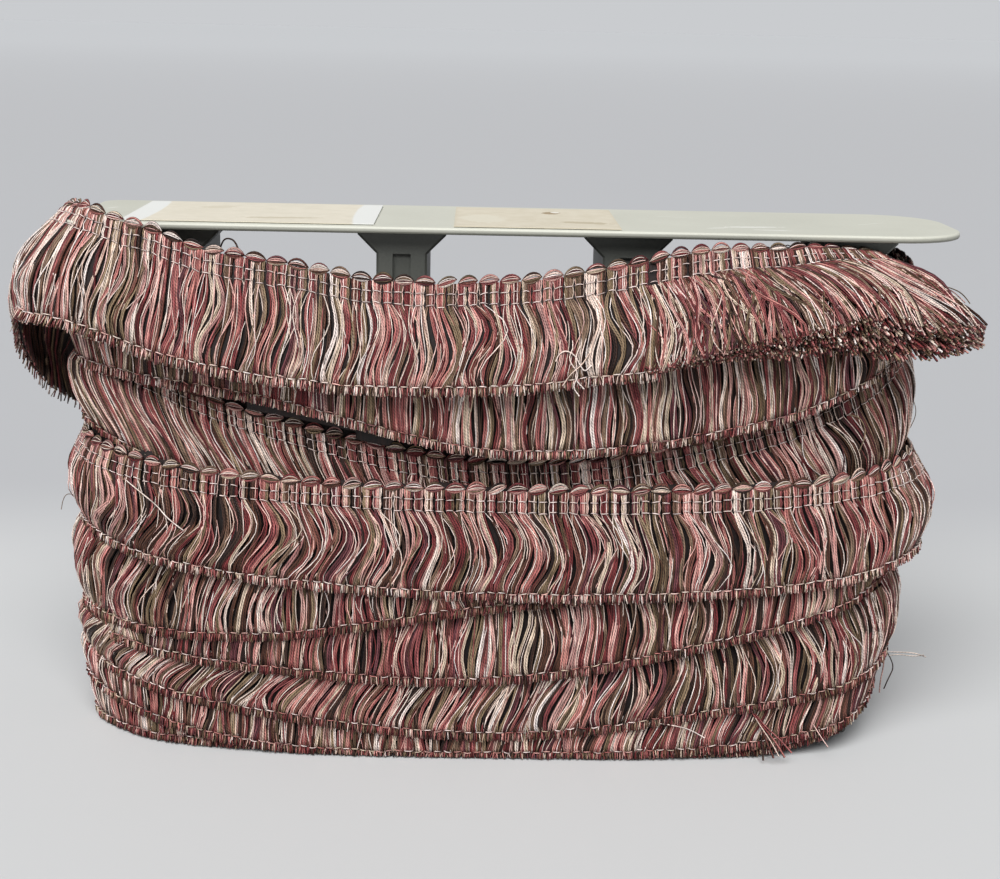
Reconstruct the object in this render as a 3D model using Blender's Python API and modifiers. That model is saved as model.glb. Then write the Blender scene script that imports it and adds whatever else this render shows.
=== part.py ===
"""Roll of brush fringe trim, wound flat round the four posts of a plastic spool.

X runs along the spool, -Y is the front and Z is up from the surface that the roll stands on. The
trim is one long strip with a looped heading along its top and a skirt of yarns under it. Turn after
turn lies round the posts like shingles, and each one slopes up or down into the next. The last turn
stands loose: it passes over the plate's left end, and its free end spreads into a fan at the right.
"""

import math

import bmesh
import bpy
import numpy as np

MM = 0.001
GAP = 0.3 * MM  # kept between pieces that touch

# The origin is under the middle of the whole roll, and the posts are centred a little off it.
POSTS_MIDDLE_X = 14.0 * MM
POSTS_MIDDLE_Y = 0.6 * MM

# Spool, measured from the middle of its posts
PLATE_LEFT, PLATE_RIGHT = -196 * MM, 201 * MM
PLATE_FRONT, PLATE_BACK = -43 * MM, 49 * MM
PLATE_TOP = 236 * MM
PLATE_THICKNESS = 3 * MM
PLATE_EDGE_ROUND = 0.9 * MM
PLATE_LEFT_CORNER = 9 * MM
PLATE_RIGHT_CORNER = 33 * MM
POST_COUNT = 4
POST_PITCH = 100 * MM
POST_WIDTH = 22.4 * MM
POST_DEPTH = 64 * MM
POST_HEAD_WIDTH = 39 * MM
POST_HEAD_RIM = 1.5 * MM
POST_GROOVE_WIDTH = 8 * MM
POST_GROOVE_DEPTH = 2.5 * MM
POST_GROOVE_FOOT = 4 * MM  # solid left under the grooves, and between them and the plate
POST_GROOVE_HEAD = 10 * MM
POST_CORNER = 1 * MM

# Paper tags on the plate: left edge, right edge, front edge, back edge, from the posts' middle
TAGS = (
    ("tag_left", -172 * MM, -62 * MM, -38 * MM, 40 * MM),
    ("tag_middle", -27 * MM, 46 * MM, -40 * MM, 38 * MM),
)
TAG_THICKNESS = 0.4 * MM

# Plan of the wound body: a superellipse round the posts
ROLL_MIDDLE_X = -3 * MM
ROLL_HALF_LENGTH = 198 * MM
ROLL_HALF_DEPTH = 65 * MM
ROLL_SQUARENESS = 3.0
ENDS_FROM = 0.75  # share of the half length past which the plan counts as an end
SLOT_CORNER = POST_CORNER + GAP

# The strip of trim
STRIP_WIDTH = 51 * MM
HEADING_WIDTH = 14 * MM
HEADING_THICKNESS = 2.4 * MM
SKIRT_THICKNESS = 2.0 * MM

# Height of each wound turn's top edge at eight places round the roll, in mm. The rows follow the strip
# inwards from the loose turn, so that the end of one row runs on into the start of the next.
TURN_TOPS = (
    # right  front  front  front  left  back  back  back
    # end    right         left   end   left        right
    (143, 129, 128, 131, 146, 156, 180, 216),
    (224, 205, 194, 220, 226, 204, 191, 187),
    (187, 151, 137, 164, 194, 178, 160, 148),
    (141, 134, 124, 107, 113, 118, 124, 128),
    (128, 111, 92, 93, 104, 103, 100, 98),
    (96, 77, 65, 71, 88, 84, 76, 75),
    (76, 58, 54, 56, 70, 60, 55, 54),
)
PLACES_ROUND = 8

# How far each of those turns stands out from the plan at its top and at its foot, and how far it is
# drawn in at the right end, in mm
TURN_STANDS = (
    # top, foot, right_end_in
    (-0.5, 6.5, 0.0),
    (-5.0, 4.5, 5.0),
    (-6.5, 0.5, 6.0),
    (-4.0, 4.0, 7.0),
    (-6.0, 3.5, 8.0),
    (-7.0, 2.5, 9.0),
    (-8.0, 1.5, 11.0),
)
TURN_BULGE = 1.6 * MM
END_TUCK = 5.0 * MM
INNER_TURNS_IN = 9 * MM
STEP_OVER_TOP = 1.6  # how fast a turn's surface falls away above its top edge, and under its foot
STEP_UNDER_FOOT = 2.0

# Foot and rim of the wound body. The rim's rows are the share of the way from the outer wall to the
# slot, and the height above the wall's top in mm.
WALL_FROM = 7 * MM
FOOT_CHAMFER = 5 * MM
BODY_UNDER_TURNS = 3 * MM
RIM = ((0.22, 1.5), (0.6, -4.0), (1.0, -9.0))

# The loose outer turn, in mm: place round the roll (from the middle of the front, plus to the right),
# height and stand-out of its top edge, the same three of its foot, and how far it rounds out between
# the two. At the free end the foot spreads past the heading.
OUTER_TURN = (
    # top_at, top_z, top_out, foot_at, foot_z, foot_out, rounding
    (172, 228.0, -8, 225, 196, 6, 3),
    (158, 229.0, -11, 200, 184, 10, 4),
    (140, 230.0, -14, 167, 182, 14, 4),
    (115, 230.5, -14, 128, 187, 14, 4),
    (92, 232.5, -8, 97, 186, 13, 3),
    (60, 229.0, -3, 61, 178, 13, 2),
    (20, 222.0, -2, 20, 171, 13, 2),
    (-20, 218.5, -2, -20, 168, 13, 2),
    (-60, 219.5, 0, -60, 168, 12, 2),
    (-100, 226.0, 3, -100, 171, 12, 2),
    (-140, 236.0, 5, -140, 179, 12, 3),
    (-175, 244.0, 8, -176, 187, 14, 5),
    (-205, 246.0, 7, -208, 190, 22, 7),
    (-231, 243.0, 5, -236, 186, 28, 9),
    (-262, 225.0, 9, -266, 165, 27, 8),
    (-292, 201.0, 11, -294, 141, 20, 5),
    (-346, 178.0, 10, -346, 125, 13, 2),
    (-461, 160.0, 8, -461, 107, 11, 1),
    (-577, 151.0, 6, -577, 98, 9, 1),
    (-670, 146.0, 4, -670, 93, 7, 1),
)
OUTER_CLEARANCE = 0.6 * MM
OUTER_MARGIN = 12 * MM  # how far past the loose turn's ends, and past its edges, it still presses
OUTER_EDGE_MARGIN = 0.1  # as a share of its width
LOOSE_YARNS_FROM = 62 * MM  # right of here the skirt has lost the stitch along its foot
LOOSE_LOCKS = 11
SECTIONS_A_LOCK = 3
COMB_CUT = 0.13  # depth of the cuts between loose locks, as a share of the strip's width

PLAN_SAMPLES = 7201
STATIONS_ROUND = 84
WALL_ROWS = 33
HEADING_ROWS = 3
SKIRT_ROWS = 5


def new_collection(name):
    collection = bpy.data.collections.new(name)
    bpy.context.scene.collection.children.link(collection)
    return collection


def plain_material(name, colour, roughness):
    material = bpy.data.materials.new(name)
    material.use_nodes = True
    shader = material.node_tree.nodes["Principled BSDF"]
    shader.inputs["Base Color"].default_value = (*colour, 1.0)
    shader.inputs["Roughness"].default_value = roughness
    shader.inputs["Metallic"].default_value = 0.0
    return material


def place(obj, collection, parent, material=None):
    """Links the object, hangs it on its parent and gives it its material."""
    collection.objects.link(obj)
    obj.parent = parent
    if material:
        obj.data.materials.append(material)


def mesh_of_curve(curve, name):
    """A mesh object with the curve object's shape: caps welded, flat faces whole. The curve is removed."""
    graph = bpy.context.evaluated_depsgraph_get()
    mesh = bpy.data.meshes.new_from_object(curve.evaluated_get(graph))
    mesh.name = name
    work = bmesh.new()
    work.from_mesh(mesh)
    bmesh.ops.remove_doubles(work, verts=work.verts, dist=0.01 * MM)
    bmesh.ops.dissolve_limit(work, angle_limit=math.radians(1), verts=work.verts, edges=work.edges)
    work.to_mesh(mesh)
    work.free()
    obj = bpy.data.objects.new(name, mesh)
    obj.matrix_world = curve.matrix_world
    bpy.data.objects.remove(curve)
    return obj


def flat_curve(name, outline, thickness, edge_round=0.0):
    """A filled 2D curve through the outline's points, with its thickness centred on its own plane."""
    curve = bpy.data.curves.new(name, "CURVE")
    curve.dimensions = "2D"
    curve.fill_mode = "BOTH"
    curve.extrude = thickness / 2 - edge_round
    curve.bevel_depth = edge_round
    curve.offset = -edge_round
    curve.bevel_resolution = 1
    spline = curve.splines.new("POLY")
    spline.points.add(len(outline) - 1)
    for point, (x, y) in zip(spline.points, outline):
        point.co = (x, y, 0.0, 1.0)
    spline.use_cyclic_u = True
    return bpy.data.objects.new(name, curve)


def arc(centre, radius, start, end, steps):
    """Points on an arc between two angles in degrees, both ends included."""
    angles = np.radians(np.linspace(start, end, steps))
    return [(centre[0] + radius * math.cos(a), centre[1] + radius * math.sin(a)) for a in angles]


# ---- The spool ----


def plate_outline():
    """A long plate, nearly square at its left end and rounded at its right."""
    left, right = PLATE_LEFT_CORNER, PLATE_RIGHT_CORNER
    return (
        arc((PLATE_RIGHT - right, PLATE_FRONT + right), right, -90, 0, 12)
        + arc((PLATE_RIGHT - right, PLATE_BACK - right), right, 0, 90, 12)
        + arc((PLATE_LEFT + left, PLATE_BACK - left), left, 90, 180, 6)
        + arc((PLATE_LEFT + left, PLATE_FRONT + left), left, 180, 270, 6)
    )


def build_plate(collection, parent):
    plate = flat_curve("spool_plate", plate_outline(), PLATE_THICKNESS, PLATE_EDGE_ROUND)
    plate.location = (0, 0, PLATE_TOP - PLATE_THICKNESS / 2)
    place(plate, collection, parent, plain_material("plate_plastic", (0.58, 0.60, 0.53), 0.5))


def post_outline():
    """Front view of a post: a straight stem whose head spreads by 45 degrees under the plate."""
    stem, head = POST_WIDTH / 2, POST_HEAD_WIDTH / 2
    top = PLATE_TOP - PLATE_THICKNESS - GAP
    shoulder = top - POST_HEAD_RIM
    right_side = [(stem, 0), (stem, shoulder - (head - stem)), (head, shoulder), (head, top)]
    return right_side + [(-x, z) for x, z in reversed(right_side)]


def build_posts(collection, cutters, parent):
    """Four equal posts, each with a groove down its front and its back."""
    material = plain_material("post_plastic", (0.20, 0.21, 0.19), 0.6)
    for number in range(POST_COUNT):
        name = f"post_{number + 1}"
        curve = flat_curve(name + "_outline", post_outline(), POST_DEPTH)
        bpy.context.scene.collection.objects.link(curve)
        post = mesh_of_curve(curve, name)
        post.location = ((number - (POST_COUNT - 1) / 2) * POST_PITCH, 0, 0)
        post.rotation_euler = (math.radians(90), 0, 0)
        place(post, collection, parent, material)
        corners = post.modifiers.new("stem_corners", "BEVEL")
        corners.limit_method = "ANGLE"
        corners.angle_limit = math.radians(60)
        corners.width = POST_CORNER
        corners.segments = 1
        for side in (-1, 1):
            cut_groove(post, side, cutters, parent)


def cut_groove(post, side, cutters, parent):
    bpy.ops.mesh.primitive_cube_add(size=1)
    cutter = bpy.context.active_object
    cutter.name = f"{post.name}_groove_{'front' if side < 0 else 'back'}"
    for owner in cutter.users_collection:
        owner.objects.unlink(cutter)
    cutters.objects.link(cutter)
    cutter.parent = parent
    low, high = POST_GROOVE_FOOT, PLATE_TOP - PLATE_THICKNESS - POST_GROOVE_HEAD
    cutter.dimensions = (POST_GROOVE_WIDTH, 2 * POST_GROOVE_DEPTH, high - low)
    cutter.location = (post.location.x, side * POST_DEPTH / 2, (low + high) / 2)
    cutter.hide_render = True
    cutter.display_type = "WIRE"
    groove = post.modifiers.new(cutter.name, "BOOLEAN")
    groove.operation = "DIFFERENCE"
    groove.object = cutter


def build_tags(collection, parent):
    material = plain_material("tag_paper", (0.80, 0.77, 0.66), 0.7)
    for name, left, right, front, back in TAGS:
        tag = flat_curve(name, [(left, front), (right, front), (right, back), (left, back)], TAG_THICKNESS)
        tag.location = (0, 0, PLATE_TOP + GAP + TAG_THICKNESS / 2)
        place(tag, collection, parent, material)


# ---- The wound trim ----


class Plan:
    """The roll's plan: a superellipse, read by the distance round it from the middle of the front."""

    def __init__(self):
        angle = np.linspace(0, 2 * math.pi, PLAN_SAMPLES)
        along, across = np.sin(angle), -np.cos(angle)
        power = 2 / ROLL_SQUARENESS
        self.x = ROLL_MIDDLE_X + ROLL_HALF_LENGTH * np.sign(along) * np.abs(along) ** power
        self.y = ROLL_HALF_DEPTH * np.sign(across) * np.abs(across) ** power
        steps = np.hypot(np.diff(self.x), np.diff(self.y))
        self.distance = np.concatenate([[0], np.cumsum(steps)])
        self.length = self.distance[-1]

    def at(self, distance, out):
        """Points at these distances round the plan, moved straight outwards by out."""
        near = 0.5 * MM
        x, y = self.on_line(distance)
        ahead_x, ahead_y = self.on_line(distance + near)
        behind_x, behind_y = self.on_line(distance - near)
        run_x, run_y = ahead_x - behind_x, ahead_y - behind_y
        size = np.hypot(run_x, run_y)
        return x + out * run_y / size, y - out * run_x / size

    def on_line(self, distance):
        wrapped = np.mod(distance, self.length)
        return np.interp(wrapped, self.distance, self.x), np.interp(wrapped, self.distance, self.y)

    def endness(self, distance):
        """0 along the flat sides, rising to 1 at the two ends."""
        x, _ = self.on_line(distance)
        share = np.abs(x - ROLL_MIDDLE_X) / ROLL_HALF_LENGTH
        share = np.clip((share - ENDS_FROM) / (1 - ENDS_FROM), 0, 1)
        return share * share * (3 - 2 * share)


def smooth_row(values, position):
    """Catmull-Rom curve through equally spaced values, read at fractional positions."""
    values = np.asarray(values, float)
    position = np.clip(position, 0, len(values) - 1)
    low = np.clip(np.floor(position).astype(int), 0, len(values) - 2)
    part = position - low
    before = values[np.maximum(low - 1, 0)]
    start, end = values[low], values[low + 1]
    after = values[np.minimum(low + 2, len(values) - 1)]
    return start + 0.5 * part * (
        end - before
        + part * (2 * before - 5 * start + 4 * end - after + part * (3 * (start - end) + after - before))
    )


def turn_top(turns_in):
    """Height of the top edge after this many turns, counted inwards from the loose turn."""
    heights = [height for row in TURN_TOPS for height in row] + [TURN_TOPS[-1][-1]]
    return smooth_row(heights, turns_in * PLACES_ROUND) * MM


def turn_stand(column, turns_in):
    """One column of TURN_STANDS, blended from each turn's front to the next one's."""
    fronts = np.arange(len(TURN_STANDS)) + 2 / PLACES_ROUND
    return np.interp(turns_in, fronts, [row[column] for row in TURN_STANDS]) * MM


def turns_round(plan, distance):
    """Share of a turn from the right end to this place, going round by the front."""
    return np.mod(plan.length / 4 - distance, plan.length) / plan.length


def outer_turn_at(distance, height):
    """Where the loose turn passes this place and height: its stand-out, and the share down its width.

    Its foot may lie further round than its top, so the section that passes here is found by steps.
    """
    rows = np.array(OUTER_TURN)[::-1] * MM
    at = np.broadcast_to(distance, np.broadcast(distance, height).shape)
    for _step in range(4):
        top_z, top_out, foot_at, foot_z, foot_out, rounding = (
            np.interp(at, rows[:, 0], rows[:, column]) for column in range(1, 7)
        )
        share = (top_z - height) / (top_z - foot_z)
        at = distance - (foot_at - at) * np.clip(share, 0, 1)
    rounded = rounding * np.sin(math.pi * np.clip(share, 0, 1))
    return top_out + (foot_out - top_out) * share + rounded, share, at


def wall_out(plan, distance, height):
    """How far the wound body stands out of its plan at these places and heights.

    Each turn is a leaning strip, and outside its own edges its surface falls away. The body shows
    whichever turn stands out most, pressed in where the loose turn lies against it.
    """
    share = turns_round(plan, distance)
    right_half = np.abs(share - 0.5) > 0.25
    at_right_end = plan.endness(distance) * right_half
    tuck = END_TUCK * plan.endness(distance)
    wall = np.full(np.broadcast(distance, height).shape, -INNER_TURNS_IN)
    for turn in range(len(TURN_TOPS)):
        turns_in = turn + share
        down = turn_top(turns_in) - height
        part = np.clip(down / STRIP_WIDTH, 0, 1)
        top, foot = turn_stand(0, turns_in), turn_stand(1, turns_in) - tuck
        strip = top + (foot - top) * part + TURN_BULGE * np.sin(math.pi * part)
        strip = strip - turn_stand(2, turns_in) * at_right_end
        strip = strip - STEP_OVER_TOP * np.maximum(-down, 0)
        strip = strip - STEP_UNDER_FOOT * np.maximum(down - STRIP_WIDTH, 0)
        wall = np.maximum(wall, strip)
    first, last = OUTER_TURN[-1][0] * MM, OUTER_TURN[0][0] * MM
    for lap in (0.0, plan.length):
        out, part, at = outer_turn_at(distance - lap, height)
        covers = (at > first - OUTER_MARGIN) & (at < last + OUTER_MARGIN)
        covers &= (part > -OUTER_EDGE_MARGIN) & (part < 1 + OUTER_EDGE_MARGIN)
        wall = np.where(covers, np.minimum(wall, out - HEADING_THICKNESS - OUTER_CLEARANCE), wall)
    return wall


def body_top(plan, distance):
    """Height of the wound body's rim: a little under the highest turn at each place."""
    share = turns_round(plan, distance)
    tops = [turn_top(turn + share) for turn in range(len(TURN_TOPS))]
    return np.max(tops, axis=0) - BODY_UNDER_TURNS


def slot_point(x, y):
    """The nearest point to (x, y) on the slot that the posts fill, a rectangle with small corners."""
    half_x = (POST_COUNT - 1) / 2 * POST_PITCH + POST_WIDTH / 2 + GAP - SLOT_CORNER
    half_y = POST_DEPTH / 2 + GAP - SLOT_CORNER
    core_x, core_y = np.clip(x, -half_x, half_x), np.clip(y, -half_y, half_y)
    away_x, away_y = x - core_x, y - core_y
    size = np.hypot(away_x, away_y)
    return core_x + SLOT_CORNER * away_x / size, core_y + SLOT_CORNER * away_y / size


def station_distances(plan):
    return np.arange(STATIONS_ROUND) * plan.length / STATIONS_ROUND


def ring_mesh(name, sections, closed_path):
    """Lofts a closed surface through sections of equal point counts.

    A closed path joins the last section to the first. An open one is a thin sheet, whose sections
    hold an outer row of points and the same row back along its inner face, and whose ends are
    closed between the two.
    """
    count, points = sections.shape[:2]
    work = bmesh.new()
    rings = [[work.verts.new(point) for point in section] for section in sections]
    for station in range(count if closed_path else count - 1):
        here, following = rings[station], rings[(station + 1) % count]
        for index in range(points):
            after = (index + 1) % points
            work.faces.new((here[index], here[after], following[after], following[index]))
    if not closed_path:
        for ring in (rings[0], rings[-1]):
            for index in range(points // 2 - 1):
                work.faces.new((ring[index], ring[index + 1], ring[-2 - index], ring[-1 - index]))
    bmesh.ops.recalc_face_normals(work, faces=work.faces)
    mesh = bpy.data.meshes.new(name)
    work.to_mesh(mesh)
    work.free()
    return bpy.data.objects.new(name, mesh)


def build_winding(plan, collection, parent):
    """The wound body, lofted round the posts through its own cross-sections.

    A section runs along the flat base, up the stepped outer wall, over the rim and down the slot.
    """
    distance = station_distances(plan)
    top = body_top(plan, distance)
    plan_x, plan_y = plan.at(distance, 0.0)
    slot_x, slot_y = slot_point(plan_x, plan_y)
    base = np.zeros_like(top)

    columns = [(slot_x, slot_y, base)]
    foot_x, foot_y = plan.at(distance, wall_out(plan, distance, WALL_FROM) - FOOT_CHAMFER)
    columns.append((foot_x, foot_y, base))
    for row in range(WALL_ROWS):
        height = WALL_FROM + (top - WALL_FROM) * row / (WALL_ROWS - 1)
        wall_x, wall_y = plan.at(distance, wall_out(plan, distance, height))
        columns.append((wall_x, wall_y, height))
    for share, rise in RIM:
        rim_x, rim_y = wall_x + (slot_x - wall_x) * share, wall_y + (slot_y - wall_y) * share
        columns.append((rim_x, rim_y, top + rise * MM))
    columns.append((slot_x, slot_y, (top + RIM[-1][1] * MM) / 2))

    sections = np.stack([np.stack(column, axis=1) for column in columns], axis=1)
    winding = ring_mesh("winding", sections, closed_path=True)
    winding.data.shade_smooth()
    place(winding, collection, parent, plain_material("trim_yarn", (0.30, 0.19, 0.17), 0.85))


def outer_stations(plan):
    """Places round the roll for the loose turn's sections, closer together where its yarns are loose."""
    whole = station_distances(plan)
    grid = np.concatenate([whole - plan.length, whole])
    first, last = OUTER_TURN[-1][0] * MM, OUTER_TURN[0][0] * MM
    held = grid[(grid > first) & (grid < LOOSE_YARNS_FROM - GAP)]
    loose = np.linspace(LOOSE_YARNS_FROM, last, 1 + SECTIONS_A_LOCK * LOOSE_LOCKS)
    return np.concatenate([[first], held, loose])


def outer_strip(plan, name, top_share, foot_share, thickness, rows):
    """One band of the loose turn, between two shares of its width.

    A band that reaches the foot is cut between its loose locks, like a comb.
    """
    ordered = np.array(OUTER_TURN)[::-1] * MM
    at = outer_stations(plan)
    top_z, top_out, foot_at, foot_z, foot_out, rounding = (
        np.interp(at, ordered[:, 0], ordered[:, column]) for column in range(1, 7)
    )
    between_locks = (np.arange(len(at)) - len(at)) % SECTIONS_A_LOCK == 0
    cut = np.where(between_locks & (at > LOOSE_YARNS_FROM) & (foot_share == 1.0), COMB_CUT, 0.0)

    faces = []
    for inwards in (0.0, thickness):
        for row in range(rows):
            share = top_share + (foot_share - cut - top_share) * row / (rows - 1)
            out = top_out + (foot_out - top_out) * share + rounding * np.sin(math.pi * share) - inwards
            x, y = plan.at(at + (foot_at - at) * share, out)
            faces.append(np.stack([x, y, top_z + (foot_z - top_z) * share], axis=1))
    outer, inner_face = faces[:rows], faces[rows:]
    return ring_mesh(name, np.stack(outer + inner_face[::-1], axis=1), closed_path=False)


def build_outer_turn(plan, collection, parent):
    """The loose last turn: its looped heading, and its skirt as one comb under it."""
    heading_share = HEADING_WIDTH / STRIP_WIDTH
    heading_end = heading_share - 2 * GAP / STRIP_WIDTH
    heading = outer_strip(plan, "outer_heading", 0.0, heading_end, HEADING_THICKNESS, HEADING_ROWS)
    skirt = outer_strip(plan, "outer_skirt", heading_share, 1.0, SKIRT_THICKNESS, SKIRT_ROWS)
    heading.data.shade_smooth()
    skirt.data.shade_smooth()
    place(heading, collection, parent, plain_material("heading_yarn", (0.42, 0.30, 0.26), 0.85))
    place(skirt, collection, parent, plain_material("skirt_yarn", (0.36, 0.22, 0.20), 0.85))


def main():
    for obj in list(bpy.data.objects):
        bpy.data.objects.remove(obj)
    parts = new_collection("roll_of_fringe_trim")
    cutters = new_collection("cutters")
    middle = bpy.data.objects.new("posts_middle", None)
    middle.location = (POSTS_MIDDLE_X, POSTS_MIDDLE_Y, 0)
    parts.objects.link(middle)

    build_plate(parts, middle)
    build_posts(parts, cutters, middle)
    build_tags(parts, middle)
    plan = Plan()
    build_winding(plan, parts, middle)
    build_outer_turn(plan, parts, middle)


main()
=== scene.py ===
"""Roll of brush fringe trim on its spool: how it looks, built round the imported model.

X runs along the spool, -Y is the front and Z is up. Places round the roll are given by the distance
along the trim from the middle of the front, plus to the right, and places across the trim by the share
of its width, from 0 at the tops of the heading loops to 1 at the stitch along its foot.
"""

import math

import bpy
import numpy as np
from mathutils import Matrix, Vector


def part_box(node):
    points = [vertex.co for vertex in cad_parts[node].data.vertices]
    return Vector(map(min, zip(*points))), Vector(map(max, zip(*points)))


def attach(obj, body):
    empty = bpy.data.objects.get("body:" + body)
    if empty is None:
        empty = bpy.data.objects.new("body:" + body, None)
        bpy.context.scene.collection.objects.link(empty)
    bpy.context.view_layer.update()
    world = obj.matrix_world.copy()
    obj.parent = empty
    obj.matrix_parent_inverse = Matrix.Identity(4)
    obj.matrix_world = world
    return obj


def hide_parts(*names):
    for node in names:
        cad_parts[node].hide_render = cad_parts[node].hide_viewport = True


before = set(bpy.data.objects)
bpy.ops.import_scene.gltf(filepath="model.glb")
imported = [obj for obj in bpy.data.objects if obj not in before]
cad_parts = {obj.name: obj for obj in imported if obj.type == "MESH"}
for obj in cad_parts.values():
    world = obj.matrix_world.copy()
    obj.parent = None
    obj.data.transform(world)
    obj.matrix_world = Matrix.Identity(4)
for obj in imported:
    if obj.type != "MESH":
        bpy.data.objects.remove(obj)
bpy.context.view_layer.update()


# ---- Camera, table and light ----
# The roll stands on a plain pale table under soft light from above. The camera looks down on it from
# the front, a little left of its middle.

MM = 0.001
CAMERA_AT = (-4.2 * MM, -799.2 * MM, 324 * MM)
CAMERA_TURN, CAMERA_DOWN, CAMERA_ROLL = (math.radians(a) for a in (0.99, 13.5, 1.21))
CAMERA_LENS = 62.86  # for a 36 mm sensor

right = np.array((math.cos(CAMERA_TURN), -math.sin(CAMERA_TURN), 0.0))
ahead = np.array((math.sin(CAMERA_TURN), math.cos(CAMERA_TURN), 0.0))
upward = np.array((0.0, 0.0, 1.0))
view_ahead = ahead * math.cos(CAMERA_DOWN) - upward * math.sin(CAMERA_DOWN)
view_up = ahead * math.sin(CAMERA_DOWN) + upward * math.cos(CAMERA_DOWN)
rolled_right = right * math.cos(CAMERA_ROLL) + view_up * math.sin(CAMERA_ROLL)
rolled_up = view_up * math.cos(CAMERA_ROLL) - right * math.sin(CAMERA_ROLL)
camera = bpy.data.objects.new("camera", bpy.data.cameras.new("camera"))
camera.data.lens = CAMERA_LENS
camera.data.sensor_width = 36.0
camera.matrix_world = Matrix(
    [[rolled_right[i], rolled_up[i], -view_ahead[i], CAMERA_AT[i]] for i in range(3)] + [[0, 0, 0, 1]]
)
bpy.context.scene.collection.objects.link(camera)
bpy.context.scene.camera = camera


def paint(red, green, blue):
    """A colour given from 0 to 255 as a screen shows it, as the linear RGBA that shaders take."""
    values = np.array((red, green, blue)) / 255
    linear = np.where(values <= 0.04045, values / 12.92, ((values + 0.055) / 1.055) ** 2.4)
    return (*linear.tolist(), 1.0)


def wire(tree, kind, links=(), **settings):
    """Adds a shader node, sets its properties and plain inputs, and links its other inputs.

    links holds (input name or number, value or output socket) pairs.
    """
    node = tree.nodes.new(kind)
    for name, value in settings.items():
        setattr(node, name, value)
    for name, value in links:
        if isinstance(value, bpy.types.NodeSocket):
            tree.links.new(value, node.inputs[name])
        else:
            node.inputs[name].default_value = value
    return node


def reckon(tree, operation, *values):
    """The result of one sum on numbers and sockets."""
    return wire(tree, "ShaderNodeMath", enumerate(values), operation=operation).outputs[0]


def ranged(tree, value, start, end, to_start=0.0, to_end=1.0, **settings):
    """A value between start and end, moved to between two others, and held at theirs outside."""
    links = [("Value", value), ("From Min", start), ("From Max", end),
             ("To Min", to_start), ("To Max", to_end)]
    return wire(tree, "ShaderNodeMapRange", links, **settings).outputs[0]


def blend(tree, share, first, second, **settings):
    """The first colour, with this share of the second in it."""
    links = [("Factor", share), ("A", first), ("B", second)]
    return wire(tree, "ShaderNodeMix", links, data_type="RGBA", **settings).outputs["Result"]


def noise(tree, place, scale, detail):
    """Soft random values, mostly between 0.3 and 0.7. The larger the scale, the finer they are."""
    links = [("Vector", place), ("Scale", scale), ("Detail", detail)]
    return wire(tree, "ShaderNodeTexNoise", links).outputs["Fac"]


def axes_of(tree, place):
    """A place's X, Y and Z."""
    return wire(tree, "ShaderNodeSeparateXYZ", [(0, place)]).outputs


def add_bump(tree, shader, height, strength, distance):
    links = [("Height", height), ("Strength", strength), ("Distance", distance)]
    tree.links.new(wire(tree, "ShaderNodeBump", links).outputs[0], shader.inputs["Normal"])


def new_finish(name, roughness, **plain):
    """A material, its node tree and its Principled shader, with the shader's plain values set."""
    material = bpy.data.materials.new(name)
    material.use_nodes = True
    shader = material.node_tree.nodes["Principled BSDF"]
    shader.inputs["Roughness"].default_value = roughness
    for socket, value in plain.items():
        shader.inputs[socket.replace("_", " ")].default_value = value
    return material, material.node_tree, shader


TABLE_REACH = 60.0

table_finish, table_tree, table_shader = new_finish("pale table", 0.6)
table_place = wire(table_tree, "ShaderNodeTexCoord").outputs["Object"]
table_back = axes_of(table_tree, table_place)["Y"]
# Painted shade: the table's paint darkens just behind the roll and lightens a little far off, copying how the
# light falls off along a studio sweep.
table_shade = paint(203, 204, 204)
for start, end, shade in ((0.18, 0.42, paint(184, 185, 187)), (2.5, 20.0, paint(195, 197, 199))):
    farther = ranged(table_tree, table_back, start, end, interpolation_type="SMOOTHSTEP")
    table_shade = blend(table_tree, farther, table_shade, shade)
table_tree.links.new(table_shade, table_shader.inputs["Base Color"])
table_mesh = bpy.data.meshes.new("table_top")
corners = [(x * TABLE_REACH, y * TABLE_REACH, 0.0) for x, y in ((-1, -1), (1, -1), (1, 1), (-1, 1))]
table_mesh.from_pydata(corners, [], [(0, 1, 2, 3)])
table_mesh.materials.append(table_finish)
table_top = bpy.data.objects.new("table_top", table_mesh)
bpy.context.scene.collection.objects.link(table_top)

# The room is a plain bright dome, the table's own shade at its rim so that the two run together.
world = bpy.data.worlds.new("studio")
world.use_nodes = True
room = world.node_tree
toward = axes_of(room, wire(room, "ShaderNodeTexCoord").outputs["Generated"])
dome = blend(room, ranged(room, toward["Z"], 0.03, 0.2), paint(202, 204, 207), paint(136, 137, 140))
room.links.new(dome, room.nodes["Background"].inputs["Color"])
bpy.context.scene.world = world
bpy.context.scene.view_settings.view_transform = "Standard"

soft_light = bpy.data.objects.new("soft_light", bpy.data.lights.new("soft_light", "SUN"))
soft_light.data.energy = 3.75
soft_light.data.angle = math.radians(48)
soft_light.rotation_euler = (math.radians(40), 0, math.radians(-12))
bpy.context.scene.collection.objects.link(soft_light)


# ---- The spool: a long plate on four posts ----
# Injection-moulded plastic, the plate pale grey-green and the posts darker. It is worn from use, with
# a fine moulded grain and a few white rub marks on the plate, and painted shade darkens the lower part
# of the plate's edge, where a light from above falls least.


def moulded(name, light, dark, grain):
    """Two close shades in broad soft clouds, with fine specks, and a bump of moulded grain."""
    material, tree, shader = new_finish(name, 0.52)
    place = wire(tree, "ShaderNodeTexCoord").outputs["Object"]
    clouds = noise(tree, place, 14.0, 4.0)
    specks = noise(tree, place, 900.0, 2.0)
    both = reckon(tree, "MULTIPLY_ADD", specks, 0.35, clouds)
    shade = blend(tree, ranged(tree, both, 0.35, 1.0), dark, light)
    add_bump(tree, shader, specks, grain, 0.1 * MM)
    tree.links.new(shade, shader.inputs["Base Color"])
    return material, tree, shader, shade, place


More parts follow.
